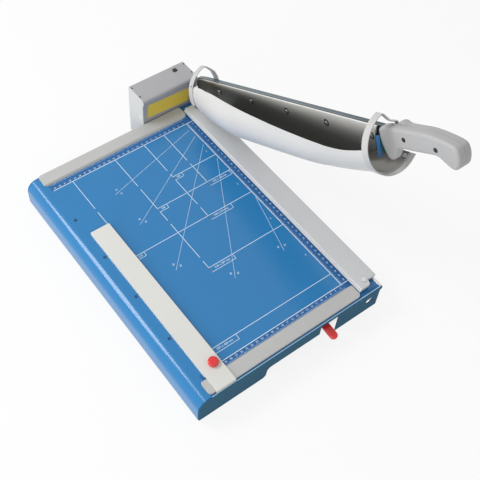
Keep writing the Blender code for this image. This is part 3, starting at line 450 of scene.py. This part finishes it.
studioSettings = {"fill": 0.62, "floorSize": 12.0, "floorColour": 0.80, "floorWhite": 0.85,
                  "underMiddle": (-0.142, -0.228), "underHalf": (0.170, 0.240), "underFade": 0.025}
tree = world.node_tree
strength = tree.nodes.new("ShaderNodeMapRange")
strength.inputs["To Min"].default_value = studioSettings["fill"]
tree.links.new(seenDirectly(tree), strength.inputs["Value"])
tree.nodes["Background"].inputs["Color"].default_value = (1, 1, 1, 1)
tree.links.new(strength.outputs["Result"], tree.nodes["Background"].inputs["Strength"])

half = studioSettings["floorSize"] / 2
floorCorners = [(-half, -half, 0), (half, -half, 0), (half, half, 0), (-half, half, 0)]
floor = bpy.data.objects.new("floor", meshOf(floorCorners, [(0, 1, 2, 3)]))
bpy.context.scene.collection.objects.link(floor)
floorLook = bpy.data.materials.new("floor_look")
floorLook.use_nodes = True
tree = floorLook.node_tree
shader = tree.nodes["Principled BSDF"]
shader.inputs["Base Color"].default_value = (*[studioSettings["floorColour"]] * 3, 1)
shader.inputs["Roughness"].default_value = 0.9
shader.inputs["Specular IOR Level"].default_value = 0.1
glow = tree.nodes.new("ShaderNodeEmission")
mix = tree.nodes.new("ShaderNodeMixShader")
share = tree.nodes.new("ShaderNodeMath")
share.operation = "MULTIPLY"
share.inputs[1].default_value = studioSettings["floorWhite"]
tree.links.new(seenDirectly(tree), share.inputs[0])
spot = tree.nodes.new("ShaderNodeTexCoord")
split = tree.nodes.new("ShaderNodeSeparateXYZ")
tree.links.new(spot.outputs["Object"], split.inputs[0])
outside = None  # 0 under the middle of the table, 1 outside its edges
for axis, middle, reach in zip("XY", studioSettings["underMiddle"], studioSettings["underHalf"]):
    gap = tree.nodes.new("ShaderNodeMath")
    gap.operation = "SUBTRACT"
    gap.inputs[1].default_value = middle
    size = tree.nodes.new("ShaderNodeMath")
    size.operation = "ABSOLUTE"
    fade = tree.nodes.new("ShaderNodeMapRange")
    fade.inputs["From Min"].default_value = reach - studioSettings["underFade"]
    fade.inputs["From Max"].default_value = reach
    tree.links.new(split.outputs[axis], gap.inputs[0])
    tree.links.new(gap.outputs["Value"], size.inputs[0])
    tree.links.new(size.outputs["Value"], fade.inputs["Value"])
    if outside is None:
        outside = fade.outputs["Result"]
    else:
        wider = tree.nodes.new("ShaderNodeMath")
        wider.operation = "MAXIMUM"
        tree.links.new(outside, wider.inputs[0])
        tree.links.new(fade.outputs["Result"], wider.inputs[1])
        outside = wider.outputs["Value"]
openFloor = tree.nodes.new("ShaderNodeMath")
openFloor.operation = "MULTIPLY"
tree.links.new(share.outputs["Value"], openFloor.inputs[0])
tree.links.new(outside, openFloor.inputs[1])
tree.links.new(openFloor.outputs["Value"], mix.inputs["Fac"])
tree.links.new(shader.outputs["BSDF"], mix.inputs[1])
tree.links.new(glow.outputs["Emission"], mix.inputs[2])
tree.links.new(mix.outputs["Shader"], tree.nodes["Material Output"].inputs["Surface"])
floor.data.materials.append(floorLook)
print("camera, lights and floor made")

# the table's print

printSettings = {
    "height": 0.00006, "line": 0.0011, "thin": 0.00045, "box": 0.0007,
    "right": -0.0545, "back": -0.0141, "front": -0.4455, "left": -0.335, "inner": -0.039,
    "uprights": {-0.297: [(-0.0141, -0.088), (-0.097, -0.430)],
                 -0.210: [(-0.0141, -0.088), (-0.097, -0.179), (-0.188, -0.272), (-0.281, -0.307)],
                 -0.148: [(-0.0141, -0.088), (-0.097, -0.179), (-0.188, -0.220)],
                 -0.105: [(-0.0141, -0.088), (-0.097, -0.159)]},
    "across": {-0.105: -0.148, -0.1485: -0.210, -0.210: -0.297, -0.297: -0.210, -0.420: -0.297},
    "labelBoxes": [(-0.148, -0.210, 0.047, 0.010), (-0.105, -0.1485, 0.047, 0.010),
                   (-0.210, -0.297, 0.048, 0.010), (-0.297, -0.420, 0.048, 0.010)],
    "labels": ["148 x 210 mm", "105 x 148 mm", "210 x 297 mm", "297 x 420 mm"],
    "smallBoxes": [(-0.148, -0.105, 0.018, 0.0085), (-0.210, -0.1485, 0.018, 0.0085),
                   (-0.297, -0.210, 0.018, 0.0085)],
    "smallLabels": ["105", "148", "210"],
    "angles": {15: 0.262, 30: 0.292, 45: 0.362, 60: 0.374, 75: 0.338},
}
inkHeight = printSettings["height"]


def inkLine(start, end, width):
    # a printed line between two points of the table's top
    first = Vector((*start, 0.0))
    run = Vector((*end, 0.0)) - first
    side = Vector((-run.y, run.x, 0.0)).normalized() * (width / 2)
    foot = Vector((0.0, 0.0, -inkHeight))
    rise = Vector((0.0, 0.0, inkHeight))
    corners = [first - side, first + run - side, first + run + side, first + side]
    points = [onTable(*(corner + level)) for level in (foot, rise) for corner in corners]
    faces = [(3, 2, 1, 0), (4, 5, 6, 7), (0, 1, 5, 4), (1, 2, 6, 5), (2, 3, 7, 6), (3, 0, 4, 7)]
    return meshOf(points, faces)


def paintBand(left, right, front, back):
    # a thin darker field: printed under the ruler numbers, and painted shade along the table's front margin
    return boxMesh(onTable(left, front, -inkHeight), onTable(right, back, inkHeight / 3))


def inkText(body, size, x, y, turned=0.0):
    # a generic number printed on the table
    curve = bpy.data.curves.new("text", "FONT")
    curve.body = body
    curve.size = size
    curve.align_x = "CENTER"
    curve.align_y = "CENTER"
    curve.extrude = inkHeight
    curve.resolution_u = 2
    holder = bpy.data.objects.new("text", curve)
    bpy.context.scene.collection.objects.link(holder)
    bpy.context.view_layer.update()
    made = bpy.data.meshes.new_from_object(holder.evaluated_get(bpy.context.evaluated_depsgraph_get()))
    bpy.data.objects.remove(holder)
    made.transform(Matrix.Translation(onTable(x, y)) @ Matrix.Rotation(turned, 4, "Z"))
    return made


lines = []
settings = printSettings
wide = settings["line"]
lines.append(inkLine((settings["left"], settings["back"]), (settings["inner"], settings["back"]), wide))
lines.append(inkLine((settings["right"], settings["back"]), (settings["right"], settings["front"] - 0.002),
                     wide))
lines.append(inkLine((settings["left"] + 0.04, settings["front"]), (settings["inner"], settings["front"]),
                     wide))
for x, spans in settings["uprights"].items():
    for start, end in spans:
        lines.append(inkLine((x, start), (x, end), wide * 0.8))
for y, left in settings["across"].items():
    lines.append(inkLine((left, y), (settings["right"], y), wide * 0.8))
for x, y, width, height in settings["labelBoxes"] + settings["smallBoxes"]:
    lines.append(inkLine((x, y - height), (x + width, y - height), settings["box"]))
    lines.append(inkLine((x + width, y), (x + width, y - height), settings["box"]))
    lines.append(inkLine((x, y), (x, y - height), settings["box"]))
for (x, y, width, height), words in zip(settings["labelBoxes"] + settings["smallBoxes"],
                                        settings["labels"] + settings["smallLabels"]):
    lines.append(inkText(words, 0.0052, x + width / 2, y - height / 2))
for degrees, reach in settings["angles"].items():
    aim = Vector((-math.cos(math.radians(degrees)), -math.sin(math.radians(degrees))))
    start = Vector((0.0, settings["back"]))
    first = -settings["right"] / math.cos(math.radians(degrees)) + 0.006
    lines.append(inkLine(tuple(start + aim * first), tuple(start + aim * reach), settings["thin"]))
    side = Vector((aim.y, -aim.x)) * 0.006
    for way in (-1, 1):
        spot = start + aim * (reach - 0.010) + side * way
        lines.append(inkText(str(degrees), 0.0048, spot.x, spot.y, math.radians(degrees)))
for y in (-0.0901, -0.1826, -0.2751, -0.3676):
    lines.append(inkText("3", 0.0045, -0.064, y))
for step in range(6, 34):
    lines.append(inkText(str(step), 0.0046, -0.01 * step, -0.0102))
for step in range(2, 45):
    lines.append(inkText(str(step), 0.0044, -0.0445, -0.01 * step, math.pi / 2))
for step in range(6, 30):
    lines.append(inkText(str(step), 0.0046, -0.01 * step, -0.4500))
addPiece("tablePrint", joinMeshes(lines), "base", "guard_grey", look="print_white", smoothAngle=None)

bandSettings = {"fields": [(-0.337, -0.0385, -0.0141, -0.0004), (-0.0545, -0.0385, -0.4455, -0.0141),
                           (-0.337, -0.0385, -0.4560, -0.4455)],
                # the margin between the front rail and the fold is painted shade
                "fold": (-0.3405, -0.0050, -0.4852, -0.4836), "paintedShadeMargin": (-0.3405, -0.0050, -0.4836, -0.4790)}
addPiece("rulerBandsAndPaintedShade",
         joinMeshes([paintBand(*field) for field in bandSettings["fields"] + [bandSettings["paintedShadeMargin"]]]),
         "base", "blue_paint", look="band_blue_and_painted_shade", smoothAngle=None)
# painted highlight: a light strip on the front fold, where its rounded edge catches the light
foldShine = boxMesh(onTable(bandSettings["fold"][0], bandSettings["fold"][2], -inkHeight),
                    onTable(bandSettings["fold"][1], bandSettings["fold"][3], inkHeight))
addPiece("foldShine", foldShine, "base", "blue_paint", look="fold_shine", smoothAngle=None)
print("table print made")


def geometryTree(name, inputs):
    # an empty Geometry Nodes tree with named inputs
    tree = bpy.data.node_groups.new(name, "GeometryNodeTree")
    tree.interface.new_socket("Geometry", in_out="INPUT", socket_type="NodeSocketGeometry")
    for title, kind in inputs.items():
        tree.interface.new_socket(title, in_out="INPUT", socket_type="NodeSocket" + kind)
    tree.interface.new_socket("Geometry", in_out="OUTPUT", socket_type="NodeSocketGeometry")
    return tree, tree.nodes.new("NodeGroupInput"), tree.nodes.new("NodeGroupOutput")


def runTree(tree, values, material, source=None):
    # run the tree on a mesh and keep what it makes
    holder = bpy.data.objects.new("holder", source or bpy.data.meshes.new("empty"))
    bpy.context.scene.collection.objects.link(holder)
    step = holder.modifiers.new("nodes", "NODES")
    step.node_group = tree
    for item in tree.interface.items_tree:
        if item.item_type == "SOCKET" and item.in_out == "INPUT" and item.name in values:
            step[item.identifier] = values[item.name]
    for node in tree.nodes:
        if node.bl_idname == "GeometryNodeSetMaterial":
            node.inputs["Material"].default_value = material
    made = bpy.data.meshes.new_from_object(holder.evaluated_get(bpy.context.evaluated_depsgraph_get()))
    bpy.data.objects.remove(holder)
    return made


def rulerTree():
    # a row of scale marks: every tenth long, every fifth middling
    tree, given, out = geometryTree("rulerMarks", {"Count": "Int", "Start": "Vector", "Pitch": "Vector",
                                                   "Mark": "Vector", "Reach": "Vector"})
    row = tree.nodes.new("GeometryNodeMeshLine")
    cube = tree.nodes.new("GeometryNodeMeshCube")
    place = tree.nodes.new("GeometryNodeInstanceOnPoints")
    real = tree.nodes.new("GeometryNodeRealizeInstances")
    paint = tree.nodes.new("GeometryNodeSetMaterial")
    index = tree.nodes.new("GeometryNodeInputIndex")
    links = tree.links
    links.new(given.outputs["Count"], row.inputs["Count"])
    links.new(given.outputs["Start"], row.inputs["Start Location"])
    links.new(given.outputs["Pitch"], row.inputs["Offset"])
    links.new(given.outputs["Mark"], cube.inputs["Size"])
    links.new(row.outputs["Mesh"], place.inputs["Points"])
    links.new(cube.outputs["Mesh"], place.inputs["Instance"])
    total = None
    for divisor in (5, 10):
        rest = tree.nodes.new("ShaderNodeMath")
        rest.operation = "MODULO"
        rest.inputs[1].default_value = divisor
        links.new(index.outputs["Index"], rest.inputs[0])
        hit = tree.nodes.new("ShaderNodeMath")
        hit.operation = "LESS_THAN"
        hit.inputs[1].default_value = 0.5
        links.new(rest.outputs["Value"], hit.inputs[0])
        if total is None:
            total = hit.outputs["Value"]
        else:
            add = tree.nodes.new("ShaderNodeMath")
            links.new(total, add.inputs[0])
            links.new(hit.outputs["Value"], add.inputs[1])
            total = add.outputs["Value"]
    grow = tree.nodes.new("ShaderNodeVectorMath")
    grow.operation = "SCALE"
    links.new(given.outputs["Reach"], grow.inputs[0])
    links.new(total, grow.inputs["Scale"])
    size = tree.nodes.new("ShaderNodeVectorMath")
    size.inputs[0].default_value = (1, 1, 1)
    links.new(grow.outputs[0], size.inputs[1])
    links.new(size.outputs[0], place.inputs["Scale"])
    links.new(place.outputs["Instances"], real.inputs["Geometry"])
    links.new(real.outputs["Geometry"], paint.inputs["Geometry"])
    links.new(paint.outputs["Geometry"], out.inputs["Geometry"])
    return tree


rulers = [
    {"Count": 280, "Start": onTable(-0.055, -0.0016), "Pitch": Vector((-0.001, 0, 0)),
     "Mark": Vector((0.00022, 0.0016, 2 * inkHeight)), "Reach": Vector((0, 0.55, 0))},
    {"Count": 430, "Start": onTable(-0.0526, -0.015), "Pitch": Vector((0, -0.001, 0)),
     "Mark": Vector((0.0016, 0.00022, 2 * inkHeight)), "Reach": Vector((0.55, 0, 0))},
    {"Count": 240, "Start": onTable(-0.055, -0.4540), "Pitch": Vector((-0.001, 0, 0)),
     "Mark": Vector((0.00022, 0.0014, 2 * inkHeight)), "Reach": Vector((0, 0.55, 0))},
]
marks = rulerTree()
addPiece("rulerMarks", joinMeshes([runTree(marks, values, finish["print_white"]) for values in rulers]),
                      "base", "guard_grey", look="print_white", smoothAngle=None)
print("ruler marks made")

# edges of the plain metal pieces

softEdges = {
    "table_top": ("tableTop", 0.0004), "back_skirt": ("backSkirt", 0.0004),
    "counter_knife": ("counterKnife", 0.0002), "back_stop": ("backStop", 0.0006),
    "front_stop": ("frontStop", 0.0006), "pivot_block": ("pivotBlock", 0.0005),
    "pivot_nut": ("pivotNut", 0.0005), "pivot_lock_nut": ("pivotLockNut", 0.0005),
    "arm_bar": ("armBar", 0.0005), "knife": ("knifeBlade", 0.0003),
    "latch_strip": ("latchStrip", 0.0004), "latch_cam": ("latchCam", 0.0006),
    "press_bar": ("pressBar", 0.0006), "gauge_plate": ("gaugePlate", 0.0006),
    "lever_arm": ("leverArm", 0.0004),
    "laser_housing": ("laserHousing", 0.0003), "laser_end_left": ("laserEndLeft", 0.0004),
    "laser_end_right": ("laserEndRight", 0.0004), "edge_beam": ("edgeBeam", 0.0004),
    "front_skirt": ("frontSkirt", 0.0012),
}
for node, (name, width) in softEdges.items():
    soften(node, name, width)
print("edges rounded:", len(softEdges))

# guard trough

troughSettings = {
    "rise": 0.0454, "radius": 0.0477, "wall": 0.0015, "belly": 0.0190, "start": 0.0530, "length": 0.4505,
    "rightRim": 313.0, "around": 56, "fullness": 1.4, "edge": 0.0005,
    "stations": [0.0, 0.0156, 0.0289, 0.0467, 0.0734, 0.1001, 0.1357, 0.1891, 0.2447, 0.3448,
                 0.4360, 0.5273, 0.6096, 0.6941, 0.7586, 0.8165, 0.8854, 0.9455, 0.9855, 1.0],
    "leftRim": [160.0, 150.0, 150.0, 150.5, 151.5, 153.5, 154.8, 159.0, 163.6, 170.7,
                176.0, 181.0, 184.8, 188.0, 189.6, 190.3, 187.0, 180.5, 175.0, 173.0],
    "bellyStations": [0.0, 0.0156, 0.1046, 0.2269, 0.3270, 0.6385, 0.7720, 0.8610, 0.9499, 0.9855, 1.0],
    "bellyDepths": [0.0, 0.0, 0.52, 0.98, 1.0, 0.98, 0.74, 0.48, 0.14, 0.0, 0.0],
}


def valueAt(share, stations, values):
    for index in range(len(stations) - 1):
        if share <= stations[index + 1]:
            span = stations[index + 1] - stations[index]
            part = (share - stations[index]) / span
            return values[index] + (values[index + 1] - values[index]) * part
    return values[-1]


def onGuard(along, angle, radius):
    return onArm(radius * math.cos(angle), along, troughSettings["rise"] + radius * math.sin(angle))


def troughMesh(settings):
    rimLine = smoothLine(list(zip(settings["stations"], settings["leftRim"])), 5, False)
    depthLine = smoothLine(list(zip(settings["bellyStations"], settings["bellyDepths"])), 6, False)
    depthStations = [point.x for point in depthLine]
    depths = [min(1.0, max(0.0, point.y)) for point in depthLine]
    around = settings["around"]
    rows = []
    for point in rimLine:
        along = settings["start"] + settings["length"] * point.x
        depth = settings["belly"] * valueAt(point.x, depthStations, depths)
        if point.x <= settings["bellyStations"][1] or point.x >= settings["bellyStations"][-2]:
            depth = 0.0
        row = []
        for step in range(around + 1):
            share = step / around
            angle = math.radians(point.y + (settings["rightRim"] - point.y) * share)
            radius = settings["radius"] + depth * math.sin(math.pi * share) ** settings["fullness"]
            row.append(onGuard(along, angle, radius))
        rows.append(row)
    points = [point for row in rows for point in row]
    width = around + 1
    faces = [(row * width + step, row * width + step + 1, (row + 1) * width + step + 1,
              (row + 1) * width + step)
             for row in range(len(rows) - 1) for step in range(around)]
    mesh = meshOf(points, faces)
    mesh.shade_smooth()

    def setUp(holder):
        step = holder.modifiers.new("wall", "SOLIDIFY")
        step.thickness = settings["wall"]
        step.offset = -1.0
        step.use_even_offset = True
        step.use_quality_normals = True
        bevelStep(holder, settings["edge"], 3, 50.0)
    return evaluated(mesh, setUp)


guardTrough = addPiece("guardTrough", troughMesh(troughSettings), "guard", "guard_grey", ["guard_trough"],
                       smoothAngle=None)
# the faces that look into the trough get the darker painted-shade grey
guardTrough.data.materials.append(finish["inner_grey_painted_shade"])
guardAxis = onArm(0.0, 0.0, troughSettings["rise"])
for face in guardTrough.data.polygons:
    away = face.center - guardAxis
    away -= armRun * away.dot(armRun)
    if face.normal.dot(away.normalized()) < -0.3:
        face.material_index = 1
print("guard trough made")

# handle

handleSettings = {
    "back": 0.4907, "length": 0.1443, "low": 0.0168, "height": 0.0567, "middle": 0.0060, "half": 0.0135,
    "seam": 0.00015, "round": 0.0062, "segments": 6, "screwRadius": 0.0034, "screwSink": 0.0022,
    "outline": [(0.4317, 0.4268), (0.6258, 0.4709), (0.7367, 0.4797), (0.8198, 0.3651), (0.9099, 0.2504),
                (0.9723, 0.3210), (1.0, 0.5503), (0.9861, 0.7795), (0.9376, 0.8765), (0.8267, 0.9418),
                (0.6292, 1.0), (0.4179, 0.9735)],
    "leftNose": [(0.2723, 0.9383), (0.1199, 0.9206), (0.0090, 0.8236), (0.0, 0.6208), (0.0132, 0.4180),
                 (0.0437, 0.1975), (0.0804, 0.0441), (0.1199, 0.0), (0.1649, 0.0741), (0.2065, 0.2593),
                 (0.2481, 0.3651), (0.3208, 0.4092)],
    "rightNose": [(0.3139, 0.9647), (0.2446, 1.0176), (0.1892, 0.9383), (0.1857, 0.6914),
                  (0.1996, 0.4974), (0.2723, 0.4180)],
    "screws": [(0.3389, 0.6966), (0.7353, 0.6631)],
}


def handlePoint(share):
    settings = handleSettings
    return settings["back"] + settings["length"] * share[0], settings["low"] + settings["height"] * share[1]


def handleHalf(nose, inner, outer, side):
    settings = handleSettings
    outline = smoothLine([handlePoint(share) for share in settings["outline"] + nose], 7)
    mesh = prism([tuple(point) for point in outline], lambda u, v, depth: onArm(depth, u, v), inner, outer)
    shape = bmesh.new()
    shape.from_mesh(mesh)
    world = cutPlace.x + outer
    rim = [edge for edge in shape.edges if all(abs(vertex.co.x - world) < 0.00001 for vertex in edge.verts)]
    bmesh.ops.bevel(shape, geom=rim, offset=settings["round"], segments=settings["segments"], profile=0.5,
                    affect="EDGES", clamp_overlap=True)
    shape.to_mesh(mesh)
    shape.free()
    return mesh


def cutWells(mesh, side, outer):
    settings = handleSettings
    wells = []
    for spot in settings["screws"]:
        place = onArm(outer - side * settings["screwSink"], *handlePoint(spot))
        wells.append(turned([(settings["screwRadius"] + 0.0004, 0.0),
                             (settings["screwRadius"] + 0.0004, 0.02)],
                            place, (side, 0, 0), 32))
    tool = bpy.data.objects.new("wells", joinMeshes(wells))
    bpy.context.scene.collection.objects.link(tool)

    def setUp(holder):
        step = holder.modifiers.new("wells", "BOOLEAN")
        step.operation = "DIFFERENCE"
        step.solver = "EXACT"
        step.object = tool
    made = evaluated(mesh, setUp)
    bpy.data.objects.remove(tool)
    return made


middle = handleSettings["middle"]
seam = handleSettings["seam"]
leftOuter = middle - handleSettings["half"]
rightOuter = middle + handleSettings["half"]
leftMesh = cutWells(handleHalf(handleSettings["leftNose"], middle - seam, leftOuter, -1), -1, leftOuter)
rightMesh = cutWells(handleHalf(handleSettings["rightNose"], middle + seam, rightOuter, 1), 1, rightOuter)
addPiece("handleLeft", leftMesh, "arm", "handle_grey", ["handle_left"], smoothAngle=40.0)
addPiece("handleRight", rightMesh, "arm", "handle_grey", ["handle_right"], smoothAngle=40.0)
print("handle made")

# hoops

hoopSettings = {"radius": 0.0481, "wall": 0.0015, "width": 0.012, "rise": 0.0454,
                "tabRise": 0.0665, "tabFoot": 0.020, "footX": 0.01255, "edge": 0.00035}
hoops = {
    "hoopFront": {"node": "hoop_front", "start": 0.501, "tabStart": 0.5045, "tab": 0.0085, "last": 313.0,
                  "tabAngle": 106.0, "leg": [(-0.0112, 0.0902), (-0.0060, 0.0832), (-0.0015, 0.0768),
                                             (0.0015, 0.0738), (0.0060, 0.0722), (0.0105, 0.0706)]},
    "hoopBack": {"node": "hoop_back", "start": 0.0445, "tabStart": 0.0360, "tab": 0.0158, "last": 193.0,
                 "tabAngle": 101.0, "leg": [(-0.0075, 0.0922), (-0.0035, 0.0894), (0.0045, 0.0818),
                                            (0.0100, 0.0748)]},
}


def hoopMesh(values):
    settings = hoopSettings
    radius = settings["radius"]
    path = []
    for step in range(73):
        angle = math.radians(values["last"] + (values["tabAngle"] - values["last"]) * step / 72)
        path.append((radius * math.cos(angle), settings["rise"] + radius * math.sin(angle), 0.0))
    bend = (settings["footX"], settings["tabRise"])
    path += [(x, rise, min(1.0, 0.4 + 0.6 * step)) for step, (x, rise) in enumerate(values["leg"])]
    for share in (0.1, 0.2, 0.6, 1.0):
        path.append((bend[0] + 0.0004, bend[1] - settings["tabFoot"] * share, 1.0))
    rows = []
    for index, (x, rise, tab) in enumerate(path):
        before = Vector(path[max(index - 1, 0)][:2])
        after = Vector(path[min(index + 1, len(path) - 1)][:2])
        run = (after - before).normalized()
        outward = Vector((-run.y, run.x))  # the path runs from the low end up and over to the arm
        if outward.dot(Vector((x, rise - settings["rise"]))) < 0:
            outward = -outward
        low = values["start"] + (values["tabStart"] - values["start"]) * tab
        high = values["start"] + settings["width"]
        high += (values["tabStart"] + values["tab"] - high) * tab
        rows.append([onArm(x, low, rise), onArm(x, high, rise),
                     onArm(x + outward.x * settings["wall"], high, rise + outward.y * settings["wall"]),
                     onArm(x + outward.x * settings["wall"], low, rise + outward.y * settings["wall"])])
    points = [point for row in rows for point in row]
    faces = [(row * 4 + side, row * 4 + (side + 1) % 4, row * 4 + 4 + (side + 1) % 4, row * 4 + 4 + side)
             for row in range(len(rows) - 1) for side in range(4)]
    faces += [(0, 1, 2, 3), tuple(len(points) - 4 + side for side in range(4))]
    return bevelled(rightWayOut(meshOf(points, faces)), settings["edge"], 2, 40.0)


for name, values in hoops.items():
    addPiece(name, hoopMesh(values), "arm", "guard_grey", [values["node"]], look="hoop_grey",
             smoothAngle=None)
print("hoops made")

# knob and lever grip

knobSettings = {"place": (-0.309, -0.443, 0.0079), "sides": 56,
                "profile": [(0.0078, 0.0), (0.0082, 0.0004), (0.0084, 0.0012), (0.0084, 0.0048),
                            (0.0082, 0.0056), (0.0076, 0.0062), (0.0068, 0.0064), (0.0030, 0.0066)]}
knobBody = turned(knobSettings["profile"], onTable(*knobSettings["place"]), (0, 0, 1),
                  knobSettings["sides"])
addPiece("gaugeKnob", knobBody, bodyOf["gauge_knob"], slotOf["gauge_knob"], ["gauge_knob"], smoothAngle=40.0)

gripSettings = {"middle": -0.1155, "back": -0.4795, "front": -0.5085, "half": 0.0069, "low": -0.0235,
                "high": -0.0155, "edge": 0.0030, "slope": 6.0}


def gripMesh(settings):
    # a rounded sleeve over the lever's end, square at the back and round at the front
    outline = [(settings["middle"] - settings["half"], settings["back"]),
               (settings["middle"] + settings["half"], settings["back"])]
    centre = settings["front"] + settings["half"]
    for step in range(17):
        angle = math.pi * step / 16
        outline.append((settings["middle"] + settings["half"] * math.cos(angle),
                        centre - settings["half"] * math.sin(angle)))
    mesh = prism(outline, lambda u, v, depth: onTable(u, v, depth), settings["low"], settings["high"])
    mesh = bevelled(mesh, settings["edge"], 5, 35.0)
    hinge = onTable(settings["middle"], settings["back"], (settings["low"] + settings["high"]) / 2)
    mesh.transform(Matrix.Translation(hinge) @ Matrix.Rotation(math.radians(settings["slope"]), 4, "X")
                   @ Matrix.Translation(-hinge))
    return mesh


addPiece("leverGrip", gripMesh(gripSettings), bodyOf["lever_grip"], slotOf["lever_grip"], ["lever_grip"],
         smoothAngle=None)
print("knob and grip made")

# screws, bolts and rivets


def headTree():
    # slotted heads on the points that come in
    tree, given, out = geometryTree("slottedHeads", {"Radius": "Float", "Height": "Float", "Slot": "Vector",
                                                     "Turn": "Vector", "Deep": "Vector"})
    head = tree.nodes.new("GeometryNodeMeshCone")
    head.inputs["Vertices"].default_value = 28
    top = tree.nodes.new("ShaderNodeMath")
    top.operation = "MULTIPLY"
    top.inputs[1].default_value = 0.84
    slot = tree.nodes.new("GeometryNodeMeshCube")
    sink = tree.nodes.new("GeometryNodeTransform")
    cut = tree.nodes.new("GeometryNodeMeshBoolean")
    cut.operation = "DIFFERENCE"
    place = tree.nodes.new("GeometryNodeInstanceOnPoints")
    real = tree.nodes.new("GeometryNodeRealizeInstances")
    paint = tree.nodes.new("GeometryNodeSetMaterial")
    links = tree.links
    links.new(given.outputs["Radius"], head.inputs["Radius Bottom"])
    links.new(given.outputs["Radius"], top.inputs[0])
    links.new(top.outputs["Value"], head.inputs["Radius Top"])
    links.new(given.outputs["Height"], head.inputs["Depth"])
    links.new(given.outputs["Slot"], slot.inputs["Size"])
    links.new(slot.outputs["Mesh"], sink.inputs["Geometry"])
    links.new(given.outputs["Deep"], sink.inputs["Translation"])
    links.new(head.outputs["Mesh"], cut.inputs["Mesh 1"])
    links.new(sink.outputs["Geometry"], cut.inputs["Mesh 2"])
    links.new(given.outputs["Geometry"], place.inputs["Points"])
    links.new(cut.outputs["Mesh"], place.inputs["Instance"])
    links.new(given.outputs["Turn"], place.inputs["Rotation"])
    links.new(place.outputs["Instances"], real.inputs["Geometry"])
    links.new(real.outputs["Geometry"], paint.inputs["Geometry"])
    links.new(paint.outputs["Geometry"], out.inputs["Geometry"])
    return tree


heads = headTree()


def addHeads(name, places, axis, radius, height, body, look, slotTurn=0.0, replaced=()):
    # slotted screw heads that stand on their places along the axis
    spots = meshOf([tuple(place) for place in places], [])
    aim = Vector(axis).to_track_quat("Z", "Y") @ Matrix.Rotation(slotTurn, 3, "Z").to_quaternion()
    values = {"Radius": radius, "Height": height, "Turn": Vector(aim.to_euler()),
              "Slot": Vector((radius * 2.4, radius * 0.34, height * 0.9)), "Deep": Vector((0.0, 0.0, height))}
    mesh = runTree(heads, values, finish[look], spots)
    return addPiece(name, mesh, body, "zinc_steel", replaced, look=look, smoothAngle=30.0)


boltSettings = {"places": [0.0675, 0.1670, 0.2665, 0.3660, 0.4655], "rise": 0.0428, "proud": 0.00085}
fittings = {
    "laserScrews": {"places": [onTable(-0.1185, 0.0670, 0.0600), onTable(-0.1185, 0.0400, 0.0600),
                               onTable(-0.0045, 0.0670, 0.0600), onTable(-0.0045, 0.0410, 0.0600)],
                    "axis": (0, 0, 1), "radius": 0.0016, "height": 0.0006, "body": "base",
                    "look": "screw_black"},
    "laserSideScrew": {"places": [onTable(-0.1214, 0.0344, 0.0123)], "axis": (-1, 0, 0), "radius": 0.0036,
                       "height": 0.0014, "body": "base", "look": "gauge_grey", "slotTurn": 0.6},
    "hoopPinUpper": {"places": [onGuard(0.0530, math.radians(151.0), 0.0495)],
                     "axis": onGuard(0.0, math.radians(151.0), 1.0) - onGuard(0.0, 0.0, 0.0),
                     "radius": 0.0013, "height": 0.0008, "body": "arm", "look": "screw_black"},
    "hoopPinLower": {"places": [onGuard(0.0480, math.radians(190.0), 0.0495)],
                     "axis": onGuard(0.0, math.radians(190.0), 1.0) - onGuard(0.0, 0.0, 0.0),
                     "radius": 0.0022, "height": 0.0012, "body": "arm", "look": "bright_steel"},
    "troughPin": {"places": [onGuard(0.4990, math.radians(303.7), 0.0463)],
                  "axis": onGuard(0.0, 0.0, 0.0) - onGuard(0.0, math.radians(303.7), 1.0),
                  "radius": 0.0036, "height": 0.0022, "body": "guard", "look": "zinc_steel", "slotTurn": 0.8},
    "knifeBoltSlots": {"places": [onArm(0.0, along, boltSettings["rise"])
                                  - Vector((boltSettings["proud"], 0, 0))
                                   for along in boltSettings["places"]],
                       "axis": (-1, 0, 0), "radius": 0.0036, "height": 0.0009, "body": "arm",
                       "look": "screw_steel", "slotTurn": 0.9},
    # painted shadow: a dark disc on the blade under each bolt head, a little higher than the head
    "knifeBoltShadowRings": {"places": [onArm(0.0, along, boltSettings["rise"] + 0.0006)
                                  + Vector((0.00015, 0, 0)) for along in boltSettings["places"]],
                       "axis": (-1, 0, 0), "radius": 0.0060, "height": 0.00025, "body": "arm",
                       "look": "screw_black"},
}
for name, values in fittings.items():
    addHeads(name, **values)

labelSettings = {"middle": (-0.0657, 0.0261), "width": 0.0904, "height": 0.0309, "turn": -3.3,
                 "front": 0.0280,
                 "thick": 0.00025}
label = boxMesh((-labelSettings["width"] / 2, -labelSettings["thick"], -labelSettings["height"] / 2),
                (labelSettings["width"] / 2, 0.0003, labelSettings["height"] / 2))
label.transform(Matrix.Translation(onTable(labelSettings["middle"][0], labelSettings["front"],
                                           labelSettings["middle"][1]))
                @ Matrix.Rotation(math.radians(-labelSettings["turn"]), 4, "Y"))
addPiece("labelPlate", label, "base", "box_light", look="label_yellow", smoothAngle=None)
print("screws and label made")
